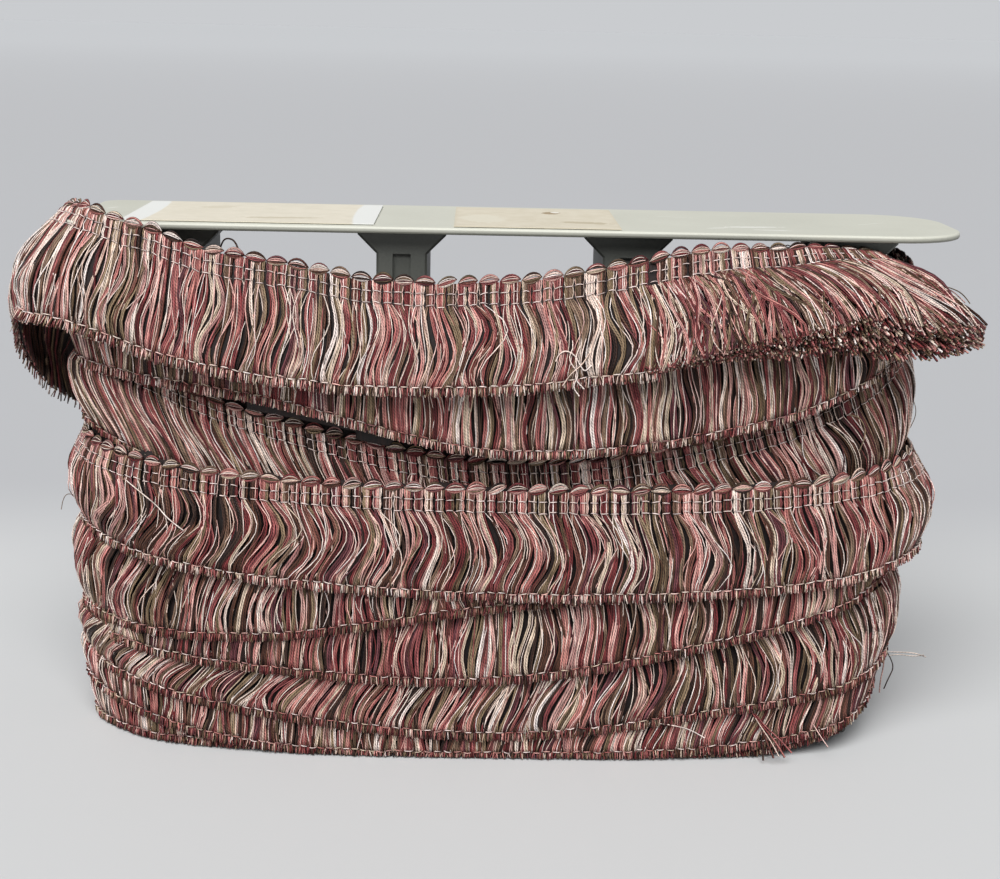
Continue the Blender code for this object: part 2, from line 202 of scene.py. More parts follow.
def patch(tree, place, middle, x, y, half_long, half_wide, turn, ragged):
    """1 inside an ellipse on the flat, 0 outside it, with an edge that noise makes ragged.

    x and y from the middle and the half sizes are in mm, and the turn is in degrees.
    """
    local = wire(tree, "ShaderNodeMapping", [
        ("Vector", place),
        ("Location", (middle[0] + x * MM, middle[1] + y * MM, 0.0)),
        ("Rotation", (0.0, 0.0, math.radians(turn))),
        ("Scale", (half_long * MM, half_wide * MM, 1.0)),
    ], vector_type="TEXTURE")
    flat = wire(tree, "ShaderNodeVectorMath", [(0, local.outputs[0]), (1, (1.0, 1.0, 0.0))],
                operation="MULTIPLY")
    reach = wire(tree, "ShaderNodeVectorMath", [(0, flat.outputs[0])], operation="LENGTH")
    edge = reckon(tree, "MULTIPLY_ADD", noise(tree, place, 420.0, 4.0), ragged, reach.outputs["Value"])
    return ranged(tree, edge, 0.9 + ragged / 2, 1.05 + ragged / 2, 1.0, 0.0)


def laid_on(tree, under, mark, colour, strength):
    """The colour below, with another laid over it where the mark is."""
    return blend(tree, reckon(tree, "MULTIPLY", mark, strength), under, colour)


PLATE_MARKS = (
    # x, y, half length and half width in mm, turn in degrees, ragged edge, strength
    (121, -16, 14, 1.6, 8, 1.2, 0.8),
    (129, -27, 9, 0.9, -6, 1.3, 0.7),
    (104, -22, 5, 1.1, 20, 1.3, 0.6),
    (178, 6, 8, 0.6, 35, 1.4, 0.4),
    (-172, 14, 4, 1.0, 60, 1.3, 0.4),
    (88, 20, 10, 0.5, -15, 1.5, 0.4),
)

plate_finish, plate_tree, plate_shader, plate_shade, plate_place = moulded(
    "plate plastic", paint(212, 212, 199), paint(195, 195, 182), 0.25
)
for *ellipse, strength in PLATE_MARKS:
    mark = patch(plate_tree, plate_place, (0.0, 0.0), *ellipse)
    plate_shade = laid_on(plate_tree, plate_shade, mark, paint(244, 244, 238), strength)
plate_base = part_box("spool_plate")[0].z
plate_height = axes_of(plate_tree, plate_place)["Z"]
# Painted shade: the plate's edge darkens towards its underside, as though lit only from above.
lower_edge_painted_shade = ranged(plate_tree, plate_height, plate_base + 2.5 * MM, plate_base + 0.8 * MM)
plate_shade = laid_on(plate_tree, plate_shade, lower_edge_painted_shade, paint(108, 108, 99), 0.9)
plate_tree.links.new(plate_shade, plate_shader.inputs["Base Color"])
post_finish = moulded("post plastic", paint(104, 106, 100), paint(80, 82, 77), 0.35)[0]
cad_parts["spool_plate"].material_slots[0].material = plate_finish
for number in range(1, 5):
    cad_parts[f"post_{number}"].material_slots[0].material = post_finish


# ---- The two paper tags on the plate ----
# Blank stock, creamy with age, soiled and rubbed along their edges. The long one has a whiter block at
# each end, and the other is yellower, with a small torn place.


def tag_paper(node, base, soil, edge_marks):
    """Paper fibres and soft soiling, darker along the tag's own edges, with marks laid on it."""
    low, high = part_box(node)
    material, tree, shader = new_finish(node + " paper", 0.75)
    place = wire(tree, "ShaderNodeTexCoord").outputs["Object"]
    fibres = noise(tree, place, 1600.0, 3.0)
    mottle = reckon(tree, "MULTIPLY_ADD", fibres, 0.3, noise(tree, place, 150.0, 2.0))
    colour = blend(tree, ranged(tree, mottle, 0.5, 0.95), base, soil)
    middle = ((low.x + high.x) / 2, (low.y + high.y) / 2)
    local = wire(tree, "ShaderNodeMapping", [("Vector", place), ("Location", (*middle, 0.0)),
                                             ("Scale", ((high.x - low.x) / 2, (high.y - low.y) / 2, 1.0))],
                 vector_type="TEXTURE")
    axes = axes_of(tree, local.outputs[0])
    for axis, size in (("X", high.x - low.x), ("Y", high.y - low.y)):
        border = ranged(tree, reckon(tree, "ABSOLUTE", axes[axis]), 1 - 3 * MM / size, 1.0)
        colour = laid_on(tree, colour, border, soil, 0.8)
    for *ellipse, mark_colour in edge_marks:
        colour = laid_on(tree, colour, patch(tree, place, middle, *ellipse), mark_colour, 0.85)
    add_bump(tree, shader, fibres, 0.3, 0.05 * MM)
    tree.links.new(colour, shader.inputs["Base Color"])
    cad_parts[node].material_slots[0].material = material


WHITE_BLOCK = paint(226, 228, 226)
tag_paper("tag_left", paint(221, 214, 197), paint(213, 206, 188), (
    # x and y from the tag's middle, half sizes, all in mm, turn in degrees, ragged edge, colour
    (-51, 0, 7, 60, 0, 0.15, WHITE_BLOCK),
    (51, 0, 7, 60, 0, 0.15, WHITE_BLOCK),
    (12, -22, 18, 3, 4, 1.4, paint(196, 187, 165)),
    (-20, 18, 9, 5, 30, 1.4, paint(208, 200, 180)),
))
tag_paper("tag_middle", paint(213, 205, 186), paint(204, 195, 174), (
    (8, 20, 4, 6, -20, 0.9, paint(150, 128, 96)),
    (10, 23, 2, 3, 10, 0.8, paint(236, 234, 224)),
    (-24, -8, 10, 16, 5, 1.2, paint(216, 210, 192)),
    (22, -18, 12, 4, -8, 1.3, paint(184, 173, 148)),
))


# ---- The run of the trim round the posts ----
# One long strip is wound flat round the four posts, turn after turn, each overlapping the next like
# shingles. Its place is a superellipse round the posts, walked by distance, and each turn leans out
# from its top edge to its foot. The last turn stands loose and passes over the plate's left end.

first_post, last_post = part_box("post_1"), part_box("post_4")
posts_x = (first_post[0].x + last_post[1].x) / 2
posts_y = (first_post[0].y + first_post[1].y) / 2
ROLL_OFF_X = -3 * MM
ROLL_HALF_LENGTH = 198 * MM
ROLL_HALF_DEPTH = 65 * MM
ROLL_SQUARENESS = 3.0
ENDS_FROM = 0.75

plan_angle = np.linspace(0, 2 * math.pi, 7201)
plan_x = np.sign(np.sin(plan_angle)) * np.abs(np.sin(plan_angle)) ** (2 / ROLL_SQUARENESS)
plan_x = posts_x + ROLL_OFF_X + ROLL_HALF_LENGTH * plan_x
plan_y = -np.sign(np.cos(plan_angle)) * np.abs(np.cos(plan_angle)) ** (2 / ROLL_SQUARENESS)
plan_y = posts_y + ROLL_HALF_DEPTH * plan_y
plan_along = np.concatenate([[0], np.cumsum(np.hypot(np.diff(plan_x), np.diff(plan_y)))])
ROUND = plan_along[-1]

STRIP_WIDTH = 51 * MM
HEADING_THICKNESS = 2.4 * MM
PLACES_ROUND = 8
TURN_TOPS = (
    # right  front  front  front  left  back  back  back
    # end    right         left   end   left        right
    (139, 130, 128, 131, 143, 156, 180, 216),
    (224, 205, 194, 220, 226, 204, 191, 187),
    (200, 156, 138, 158.5, 194, 178, 160, 148),
    (141, 134, 124, 107, 113, 118, 124, 128),
    (128, 111, 92, 93, 104, 103, 100, 98),
    (96, 77, 65, 71, 88, 84, 76, 75),
    (76, 58, 54, 56, 70, 60, 55, 54),
    (52, 51, 51, 51, 52, 51, 51, 51),
)
TURN_FEET = (
    (94, 83, 80, 86, 101, 106, 130, 164),
    (199, 159, 144, 166.5, 173, 154, 141, 137),
    (137, 101, 86, 118, 150, 127, 110, 98),
    (91, 84, 74, 57, 60, 66, 74, 77),
    (91, 62, 40, 43, 53, 53, 50, 48),
    (43, 27, 13, 22, 39, 34, 26, 25),
    (26, 8, 3, 6, 26, 10, 6, 5),
    (24, 4, 4, 4, 4, 4, 4, 4),
)
TURN_STANDS = (
    # stand-out at top and foot; then how far the left end's top and foot and the right end's top and
    # foot are drawn in, and how far the ends bulge
    (-0.5, 6.5, 6.5, 10.5, 10, 9, 6),
    (-5.0, 4.5, 2, 7, 13, 14, 4),
    (-11.0, -8.0, -1.5, -1.5, 11.5, 7.5, 6),
    (-4.0, 4.0, 5, 7, 13, 16, 5),
    (-6.0, 3.5, 4, 7, 14, 18, 5),
    (-7.0, 2.5, 3, 6, 13, 16, 5),
    (-8.0, 1.5, 2, 4, 15, 22, 4),
    (-9.0, 0.0, 1, 7, 22, 28, 2),
)
TURN_BULGE = 1.6 * MM
FIRST_ROW, SECOND_ROW, FOOT_ROW = 0.155, 0.253, 0.985  # the rows of stitches, as shares across
LOOPS_DOWN = 0.1  # the share across that keeps its own size however the turn leans
LOOSE_ROW = (
    # place, height and stand-out of the second row of stitches, the heading's lean inwards in degrees,
    # how far along the foot lies, and how far the yarns round out; all but the lean in mm
    (172, 226.4, -4, 78, 31, 3),
    (155, 226.8, -4, 72, 32, 4),
    (142, 226.9, -4, 66, 29, 4),
    (130, 225.4, -3, 52, 24, 4),
    (116, 223.3, -3, 44, 19, 4),
    (98, 223.7, 0, 41, 10, 3),
    (78, 220.8, 1, 20, 3, 2),
    (50, 215.0, 3, 14, 0, 2),
    (30, 211.0, 3, 14, 0, 2),
    (10, 207.9, 3, 14, 0, 2),
    (-30, 205.6, 3, 14, 0, 2),
    (-63, 207.0, 3, 15, 0, 2),
    (-91, 212.1, 3, 17, 0, 2),
    (-131, 217.7, 4, 17, 0, 2),
    (-152, 224.9, 4, 17, 0, 3),
    (-163, 227.0, 4, 17, 0, 4),
    (-181, 232.3, 6, 24, -2, 6),
    (-188, 234.4, 6, 35, -2, 6),
    (-200, 234.0, 4, 40, -3, 6),
    (-215, 234.0, 5, 45, -4, 7),
    (-231, 227.5, 14, 50, -5, 7),
    (-239, 219.0, 18, 40, -4, 7),
    (-246, 205.0, 20, 28, -4, 6),
    (-259, 186.0, 22, 20, -3, 6),
    (-277, 166.0, 24, 16, -2, 6),
    (-310, 158.0, 18, 16, -1, 4),
    (-346, 158.0, 13, 16, 0, 2),
    (-461, 145.0, 10, 16, 0, 1),
    (-577, 134.0, 6, 16, 0, 1),
    (-640, 129.0, 0.5, 24, 0, 1),
    (-670, 127.7, -2.5, 36, 0, 1),
)
LOOSE_FOOT = (
    # place, height and stand-out of the stitch along the foot, or of the cut ends where it has gone,
    # in mm
    (215, 190.7, 20),
    (190, 189.0, 20),
    (178, 187.0, 21),
    (162, 187.5, 19),
    (138, 190.0, 17),
    (117, 189.0, 17),
    (93, 188.0, 17),
    (77, 185.5, 16),
    (58, 181.0, 14),
    (37, 178.9, 13),
    (10, 174.6, 13),
    (-30, 172.6, 13),
    (-70, 172.9, 13),
    (-87, 175.0, 13),
    (-111, 177.2, 13),
    (-128, 180.2, 13),
    (-150, 184.7, 14),
    (-162, 188.9, 14),
    (-181, 194.1, 16),
    (-188, 196.2, 19),
    (-215, 193.7, 20),
    (-223, 191.9, 24),
    (-231, 186.5, 27),
    (-237, 178.0, 28.5),
    (-246, 167.0, 30.5),
    (-251, 161.0, 33),
    (-259, 147.0, 37),
    (-265, 138.0, 41),
    (-277, 127.0, 40),
    (-292, 120.0, 32),
    (-310, 119.0, 24),
    (-346, 120.0, 15),
    (-461, 107.0, 11),
    (-577, 98.0, 9),
    (-640, 94.5, 3),
    (-670, 94.0, -1),
)
LOOSE = -1  # the loose turn's number; the wound turns are numbered from 0
LOOSE_FIRST, LOOSE_LAST = LOOSE_ROW[-1][0] * MM, LOOSE_ROW[0][0] * MM
FAN_LEAN = 40 * MM  # the loose yarns fan out most at half this lean, and not at all at 0 or all of it
LOOSE_GAP = 1.2 * MM  # between the loose turn and what it presses on
# A turn hides what lies from the first distance under its top to the second one past its foot.
HIDDEN_TOP, HIDDEN_FOOT = 1.5 * MM, 2.2 * MM
SEEN_BEHIND = 8 * MM  # a place at least this far behind the loose turn is seen past it


def eased(rows):
    """A table's columns at every millimetre of its run, with its corners eased by a sliding average."""
    rows = np.array(rows, float)[::-1]
    at = np.arange(rows[0, 0], rows[-1, 0] + 1)
    window = np.hanning(19) / np.hanning(19).sum()
    columns = [np.pad(np.interp(at, rows[:, 0], column), 9, mode="edge") for column in rows.T[1:]]
    return at * MM, [np.convolve(column, window, "valid") for column in columns]


loose_row_at, loose_row = eased(LOOSE_ROW)
loose_foot_at, loose_foot = eased(LOOSE_FOOT)


def plan_place(along):
    """Where a distance round the roll is on its plan."""
    wrapped = np.mod(along, ROUND)
    return np.interp(wrapped, plan_along, plan_x), np.interp(wrapped, plan_along, plan_y)


def beside_plan(along, out):
    """Points at these distances round the plan, moved out of it, and the direction out of it there."""
    near = 0.5 * MM
    x, y = plan_place(along)
    ahead_x, ahead_y = plan_place(along + near)
    behind_x, behind_y = plan_place(along - near)
    run = np.hypot(ahead_x - behind_x, ahead_y - behind_y)
    out_x, out_y = (ahead_y - behind_y) / run, (behind_x - ahead_x) / run
    return x + out * out_x, y + out * out_y, out_x, out_y


def turn_height(rows, turns_in):
    """Height of a wound turn's top edge or foot: a Catmull-Rom curve through a table's heights."""
    heights = np.array([height for row in rows for height in row] + [rows[-1][-1]], float)
    position = np.clip(turns_in * PLACES_ROUND, 0, len(heights) - 1)
    low = np.clip(np.floor(position).astype(int), 0, len(heights) - 2)
    part = position - low
    before, start = heights[np.maximum(low - 1, 0)], heights[low]
    end, after = heights[low + 1], heights[np.minimum(low + 2, len(heights) - 1)]
    cubic = 2 * before - 5 * start + 4 * end - after + part * (3 * (start - end) + after - before)
    return (start + 0.5 * part * (end - before + part * cubic)) * MM


def loose_lines(along):
    """The loose turn's second row of stitches and its foot, as heights and stand-outs, with its leans."""
    row_z, row_out, laid, lean, rounding = (np.interp(along, loose_row_at, column) for column in loose_row)
    foot_z, foot_out = (np.interp(along + lean * MM, loose_foot_at, column) for column in loose_foot)
    return row_z * MM, row_out * MM, np.radians(laid), lean * MM, rounding * MM, foot_z * MM, foot_out * MM


def below_heading(down):
    """A share across the trim, as a share of the way from the second row of stitches to the foot."""
    return (down - SECOND_ROW) / (FOOT_ROW - SECOND_ROW)


def loose_face(along, down):
    """Where a place on the loose turn is: distance round the roll, height and stand-out.

    The heading is flat and leans inwards from the second row of stitches. Below it the yarns run
    straight to the foot or, where it lies well to the side, leave nearly level and turn down: a sine
    eases the way along and a power eases the drop.
    """
    row_z, row_out, laid, lean, rounding, foot_z, foot_out = loose_lines(along)
    fan = np.sin(math.pi * np.clip(lean / FAN_LEAN, 0, 1))
    part = np.clip(below_heading(down), 0, 1.2)
    quick = np.sin(np.minimum(part, 1) * math.pi / 2) + np.maximum(part - 1, 0) * 0.3
    drop = part + fan * (part**1.7 - part)
    above = np.maximum(SECOND_ROW - down, 0) * STRIP_WIDTH
    arch = rounding * np.sin(math.pi * np.clip(part, 0, 1))
    return (
        along + lean * (part + fan * (quick - part)),
        row_z + above * np.cos(laid) + (foot_z - row_z) * drop,
        row_out - above * np.sin(laid) + (foot_out - row_out) * drop + arch,
    )


def loose_turn_at(round_at, height):
    """The loose turn's stand-out at this place of the roll, and the share across it, found by steps."""
    at = np.broadcast_to(round_at, np.broadcast(round_at, height).shape)
    for _step in range(4):
        row_z, _out, laid, _lean, _rounding, foot_z, _foot_out = loose_lines(at)
        share = SECOND_ROW - (height - row_z) / (STRIP_WIDTH * np.cos(laid))
        below = SECOND_ROW + (row_z - height) / (row_z - foot_z) * (FOOT_ROW - SECOND_ROW)
        share = np.where(height > row_z, share, below)
        at = round_at - (loose_face(at, np.clip(share, 0, 1))[0] - at)
    return loose_face(at, share)[2], share, at


def loose_laps(along, height, first=-0.1, last=1.1):
    """For each lap of the loose turn past a place: its stand-out there, and whether it reaches it.

    It does between its own ends, and between these shares across it.
    """
    for lap in (0.0, ROUND):
        out, share, at = loose_turn_at(np.mod(along, ROUND) - lap, height)
        yield out, (at > LOOSE_FIRST) & (at < LOOSE_LAST) & (share > first) & (share < last)


def turn_edges(turns_in):
    """Heights of a wound turn's top edge and foot."""
    return turn_height(TURN_TOPS, turns_in), turn_height(TURN_FEET, turns_in)


def turns_before(along):
    """The part of a turn that runs from its start, in the middle of the right end, to a place."""
    return (ROUND / 4 - along) / ROUND


def wound_height(turns_in, down):
    """Height on a wound turn: its loops keep their size, and the rest runs evenly down to its foot."""
    top, foot = turn_edges(turns_in)
    start = top - LOOPS_DOWN * STRIP_WIDTH
    below = start + (foot - start) * (down - LOOPS_DOWN) / (FOOT_ROW - LOOPS_DOWN)
    return np.where(down < LOOPS_DOWN, top - down * STRIP_WIDTH, below)


def wound_out(turns_in, along, down):
    """Stand-out of a wound turn, which leans out to its foot, bulges, and is drawn in at the ends."""
    fronts = np.arange(len(TURN_STANDS)) + 2 / PLACES_ROUND
    top, foot, left_top, left_foot, right_top, right_foot, end_bulge = (
        np.interp(turns_in, fronts, column) * MM for column in zip(*TURN_STANDS)
    )
    x, _y = plan_place(along)
    end = np.abs(x - posts_x - ROLL_OFF_X) / ROLL_HALF_LENGTH
    end = np.clip((end - ENDS_FROM) / (1 - ENDS_FROM), 0, 1)
    end = end * end * (3 - 2 * end)
    at_right = x > posts_x
    end_top = np.where(at_right, right_top, left_top)
    end_foot = np.where(at_right, right_foot, left_foot)
    arch = (TURN_BULGE + end * end_bulge) * np.sin(math.pi * np.clip(down, 0, 1))
    return top + (foot - top) * down + arch - end * (end_top + (end_foot - end_top) * down)


def wound_face(turn, along, down):
    """Where a place on a wound turn is. Where the loose turn lies on it, it is pressed in behind that."""
    turns_in = turn + turns_before(along)
    height, out = wound_height(turns_in, down), wound_out(turns_in, along, down)
    for loose_out, under in loose_laps(along, height):
        out = np.where(under, np.minimum(out, loose_out - HEADING_THICKNESS - LOOSE_GAP), out)
    return along, height, out


def on_turn(turn, along, down, lift):
    """Points at places on a turn, raised by lift, and the direction out of the roll there."""
    round_at, height, out = loose_face(along, down) if turn == LOOSE else wound_face(turn, along, down)
    x, y, out_x, out_y = beside_plan(round_at, out + lift)
    height = np.maximum(height, 0.9 * MM)  # the lowest ends bend where they meet the table
    return np.stack([x, y, height], axis=-1), np.stack([out_x, out_y, np.zeros_like(out_x)], axis=-1)


def shows(turn, along, down):
    """Whether a place on a turn is clear of the turns that were wound over it later."""
    if turn == LOOSE:
        return np.ones(np.broadcast(along, down).shape, bool)
    turns_in = turn + turns_before(along)
    _round_at, height, out = wound_face(turn, along, down)
    hidden = np.zeros(height.shape, bool)
    for later in range(1, turn + 2):
        top, foot = turn_edges(np.maximum(turns_in - later, 0))
        hidden |= (height < top - HIDDEN_TOP) & (height > foot - HIDDEN_FOOT) & (turns_in - later >= 0)
    for loose_out, over in loose_laps(along, height, 0.03, 1.03):
        hidden |= over & (loose_out - out < SEEN_BEHIND)
    return ~hidden


# ---- The yarn ----
# Soft rayon spun from two plies and space-dyed, so along each yarn one shade runs into the next. Most
# lie side by side in pairs, with single yarns among them, most of them pale. The stitching is cream
# thread; along the feet of the lower turns it is drawn in duller yarns, painted shade under the turn
# that overhangs each foot.

YARNS = (
    # name, shade, next shade, share of the locks
    ("charcoal", (37, 22, 19), (76, 53, 43), 9),
    ("umber", (59, 33, 25), (102, 67, 52), 10),
    ("maroon", (84, 33, 34), (130, 56, 57), 9),
    ("burgundy", (113, 43, 48), (155, 91, 88), 8),
    ("madder", (135, 60, 62), (194, 130, 121), 5),
    ("rose", (174, 103, 101), (124, 59, 61), 6),
    ("salmon", (209, 148, 137), (170, 98, 95), 6),
    ("blush", (232, 187, 176), (200, 128, 122), 6),
    ("taupe", (148, 123, 103), (104, 74, 59), 9),
    ("olive", (114, 94, 70), (161, 137, 110), 7),
    ("moss", (79, 58, 42), (124, 104, 80), 6),
    ("clay", (145, 96, 83), (99, 56, 48), 6),
    ("plum", (80, 39, 44), (126, 74, 79), 5),
    ("stone", (199, 177, 152), (229, 207, 187), 6),
    ("mauve", (166, 115, 112), (212, 171, 161), 5),
    ("wine to cream", (112, 38, 44), (233, 202, 184), 4),
    ("cream", (250, 233, 221), (234, 204, 187), 2),
    ("ivory", (250, 239, 234), (246, 223, 212), 2),
    ("shell", (250, 218, 210), (239, 186, 175), 0),
    ("linen", (232, 214, 198), (250, 233, 224), 1),
    ("thread", (248, 225, 216), (250, 231, 226), 0),
)
yarn_names = [row[0] for row in YARNS]
lock_share = np.array([row[3] for row in YARNS], float)
lock_share = lock_share / lock_share.sum()


def favoured(brightness, factors):
    """The yarns' shares, each taken times a factor read from its brightness, the sum of both shades."""
    share = lock_share * np.interp([sum(row[1] + row[2]) for row in YARNS], brightness, factors)
    return share / share.sum()


# The loose turn favours the pale yarns: partly its own paler mix, partly painted light, as it leans out into
# the light from above.
loose_pale_and_painted_light_share = favoured((420, 900), (0.6, 1.9))
dark_share = favoured((300, 620), (1.0, 0.08))
foot_share = favoured((350, 900), (1.0, 0.45))
PALE = [yarn_names.index(name) for name in ("cream", "ivory", "shell", "linen")]
DULL_FOR_PAINTED_SHADE = [yarn_names.index(name) for name in ("thread", "blush", "stone", "mauve", "salmon")]
THREAD = yarn_names.index("thread")
DYE_RUN = 400 * MM  # length of yarn that the dye pattern is worked out for
SHADE_RUN = 24 * MM  # about how far one shade runs before it changes
TONE_RUN = 6 * MM  # about how far a lighter or darker stretch of one yarn runs
PLY_TURN = 1.5 * MM
YARNS_A_LOCK = 2
UNDERSIDE = 0.3  # room left for a lock's underside, in yarns, after the two that show
LOCK_PROFILE = (
    # across, out of the trim, where the yarn column is met, in yarns
    (-1.0, -0.35, 0.0),
    (-0.5, 0.7, 0.6),
    (0.5, 0.7, 1.4),
    (1.0, -0.35, 2.0),
)
SINGLE_PROFILE = (
    (-0.87, -0.5, 0.03),
    (0.0, 1.0, 0.5),
    (0.87, -0.5, 0.97),
)

yarn_finish, yarn_tree, yarn_shader = new_finish(
    "space-dyed yarn", 0.45, Specular_IOR_Level=0.18, Sheen_Weight=0.04
)
yarn_map = axes_of(yarn_tree, wire(yarn_tree, "ShaderNodeUVMap", uv_map="OFBake").outputs[0])
column = reckon(yarn_tree, "MULTIPLY", yarn_map["X"], float(len(YARNS)))
which = reckon(yarn_tree, "FLOOR", column)
across = reckon(yarn_tree, "MULTIPLY", reckon(yarn_tree, "FRACT", column), YARNS_A_LOCK + UNDERSIDE)
ramps = []
for shade_column in (1, 2):
    ramp = wire(yarn_tree, "ShaderNodeValToRGB", [("Fac", yarn_map["X"])])
    ramp.color_ramp.interpolation = "CONSTANT"
    for number, row in enumerate(YARNS):
        if number > 1:
            ramp.color_ramp.elements.new(number / len(YARNS))
        ramp.color_ramp.elements[number].position = number / len(YARNS)
        ramp.color_ramp.elements[number].color = paint(*row[shade_column])
    ramps.append(ramp.outputs["Color"])


def strand_noise(x, run, detail):
    """Slow noise along each strand: x sets the strands apart, and the noise turns in about this run."""
    down = reckon(yarn_tree, "MULTIPLY", yarn_map["Y"], DYE_RUN / run)
    at = wire(yarn_tree, "ShaderNodeCombineXYZ", [("X", x), ("Y", down)])
    return noise(yarn_tree, at.outputs[0], 1.0, detail)


# The dye runs from one shade to the next and back. The yarns of a pair share some of it.
strand = reckon(yarn_tree, "FLOOR", across)
dye_at = reckon(yarn_tree, "MULTIPLY_ADD", which, 7.31, reckon(yarn_tree, "MULTIPLY", strand, 1.7))
dye = ranged(yarn_tree, strand_noise(dye_at, SHADE_RUN, 2.0), 0.38, 0.62)
shade = blend(yarn_tree, dye, *ramps)

# Each yarn is a round ridge crossed by the slanting grooves between its plies, and runs darker and
# lighter along its length. The colour is darkened in the grooves between the yarns and between the
# plies: painted shade.
ridge = reckon(yarn_tree, "SINE", reckon(yarn_tree, "MULTIPLY", across, math.pi))
ridge = reckon(yarn_tree, "ABSOLUTE", ridge)
ply = reckon(yarn_tree, "MULTIPLY_ADD", yarn_map["Y"], DYE_RUN / PLY_TURN, across)
ply = reckon(yarn_tree, "SINE", reckon(yarn_tree, "MULTIPLY", ply, 2 * math.pi))
relief = reckon(yarn_tree, "MULTIPLY_ADD", ply, 0.22, ridge)
# Painted shade in the grooves, later multiplied by each yarn's own darker and lighter stretches.
painted_groove_shade_and_tone = ranged(yarn_tree, relief, 0.0, 1.0, 0.16, 1.05)
own_at = reckon(yarn_tree, "MULTIPLY_ADD", which, 9.0, strand)
own = ranged(yarn_tree, strand_noise(own_at, TONE_RUN, 1.0), 0.3, 0.7, 0.62, 1.42)
painted_groove_shade_and_tone = reckon(yarn_tree, "MULTIPLY", painted_groove_shade_and_tone, own)
lit = blend(yarn_tree, 1.0, shade, painted_groove_shade_and_tone, blend_type="MULTIPLY")
add_bump(yarn_tree, yarn_shader, relief, 0.9, 0.3 * MM)
yarn_tree.links.new(lit, yarn_shader.inputs["Base Color"])


def add_piece(name, points, faces, material, uv=None):
    """A smooth mesh from arrays: points, faces as rows of corner numbers (-1 fills a triangle), and UVs."""
    faces = np.asarray(faces)
    corners_used = faces >= 0
    loops = faces[corners_used]
    sizes = corners_used.sum(1)
    mesh = bpy.data.meshes.new(name)
    mesh.vertices.add(len(points))
    mesh.vertices.foreach_set("co", np.asarray(points, np.float32).ravel())
    mesh.loops.add(len(loops))
    mesh.loops.foreach_set("vertex_index", loops.astype(np.int32))
    mesh.polygons.add(len(faces))
    mesh.polygons.foreach_set("loop_start", np.concatenate([[0], np.cumsum(sizes)[:-1]]).astype(np.int32))
    mesh.update(calc_edges=True)
    mesh.polygons.foreach_set("use_smooth", np.ones(len(faces), bool))
    if uv is not None:
        layer = mesh.uv_layers.new(name="OFBake")
        layer.uv.foreach_set("vector", np.asarray(uv, np.float32)[corners_used].ravel())
    mesh.materials.append(material)
    piece = bpy.data.objects.new(name, mesh)
    bpy.context.scene.collection.objects.link(piece)
    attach(piece, "root")
    return piece


def unit(vectors):
    return vectors / np.maximum(np.linalg.norm(vectors, axis=-1, keepdims=True), 1e-12)


def spin(profile, paths, outward, half_width, height, kind, start, tip_kind=None):
    """Closed tubes of one profile swept along many paths at once.

    A corner lies at the path's point, plus its part of the half width towards the side, plus its part
    of the height outwards; the side is square to the path and the outward direction. On the map, each
    kind of yarn has its own column, and its length is laid off downwards from its start. Returns
    points, faces and the faces' map places.
    """
    count, steps = paths.shape[:2]
    if not count:
        return []
    corners = len(profile)
    run = unit(np.gradient(paths, axis=1))
    face = unit(outward - (outward * run).sum(-1, keepdims=True) * run)
    side = np.cross(run, face)
    wide = np.broadcast_to(half_width, (count, steps))[:, :, None, None]
    tall = np.broadcast_to(height, (count, steps))[:, :, None, None]
    to_side, to_face, met = (np.array(part)[:, None] for part in zip(*profile))
    points = paths[:, :, None] + wide * to_side * side[:, :, None] + tall * to_face * face[:, :, None]

    number = np.arange(count * steps * corners).reshape(count, steps, corners)
    near, far = number[:, :-1], number[:, 1:]
    sides = np.stack([near, np.roll(near, -1, 2), np.roll(far, -1, 2), far], axis=-1).reshape(-1, 4)
    pad = np.full((count, 4 - corners), -1)
    starts = np.concatenate([number[:, 0, ::-1], pad], axis=1)
    ends = np.concatenate([number[:, -1], pad], axis=1)

    step = np.linalg.norm(np.diff(paths, axis=1), axis=-1)
    length = np.concatenate([np.zeros((count, 1)), np.cumsum(step, axis=1)], axis=1)
    down = (np.asarray(start)[:, None] + length) / DYE_RUN
    closing = met[0, 0] if corners == 3 else YARNS_A_LOCK + 0.9 * UNDERSIDE
    met = np.append(met[:, 0], closing) / (YARNS_A_LOCK + UNDERSIDE)
    place = (np.asarray(kind)[:, None] + 0.002 + 0.996 * met) / len(YARNS)
    shape = (count, steps - 1, corners)
    u_near = np.broadcast_to(place[:, None, :-1], shape)
    u_far = np.broadcast_to(place[:, None, 1:], shape)
    v_near = np.broadcast_to(down[:, :-1, None], shape)
    v_far = np.broadcast_to(down[:, 1:, None], shape)
    side_map = np.stack([u_near, v_near, u_far, v_near, u_far, v_far, u_near, v_far], axis=-1)
    tip = place if tip_kind is None else place + (np.asarray(tip_kind) - kind)[:, None] / len(YARNS)
    lean = np.array([0.0, 0.003, 0.003, 0.0])
    start_map = np.stack([place[:, [2, 1, 0, 0]] if corners == 3 else place[:, [3, 2, 1, 0]],
                          down[:, :1] + lean], axis=-1)
    end_map = np.stack([tip[:, [0, 1, 2, 2]] if corners == 3 else tip[:, :4], down[:, -1:] + lean], axis=-1)
    return [(
        points.reshape(-1, 3),
        np.concatenate([sides, starts, ends]),
        np.concatenate([side_map.reshape(-1, 4, 2), start_map, end_map]),
    )]


def dye_starts(draw, count, longest):
    """Where on the dye's run each yarn begins, so that one as long as this doesn't run past its end."""
    return draw.uniform(0, DYE_RUN - longest, count)


def spin_mixed(single, *parts):
    """Locks and single yarns spun with their own profiles, from the same parts as spin takes."""
    groups = []
    for profile, those in ((LOCK_PROFILE, ~single), (SINGLE_PROFILE, single)):
        groups += spin(profile, *(part[those] for part in parts))
    return groups


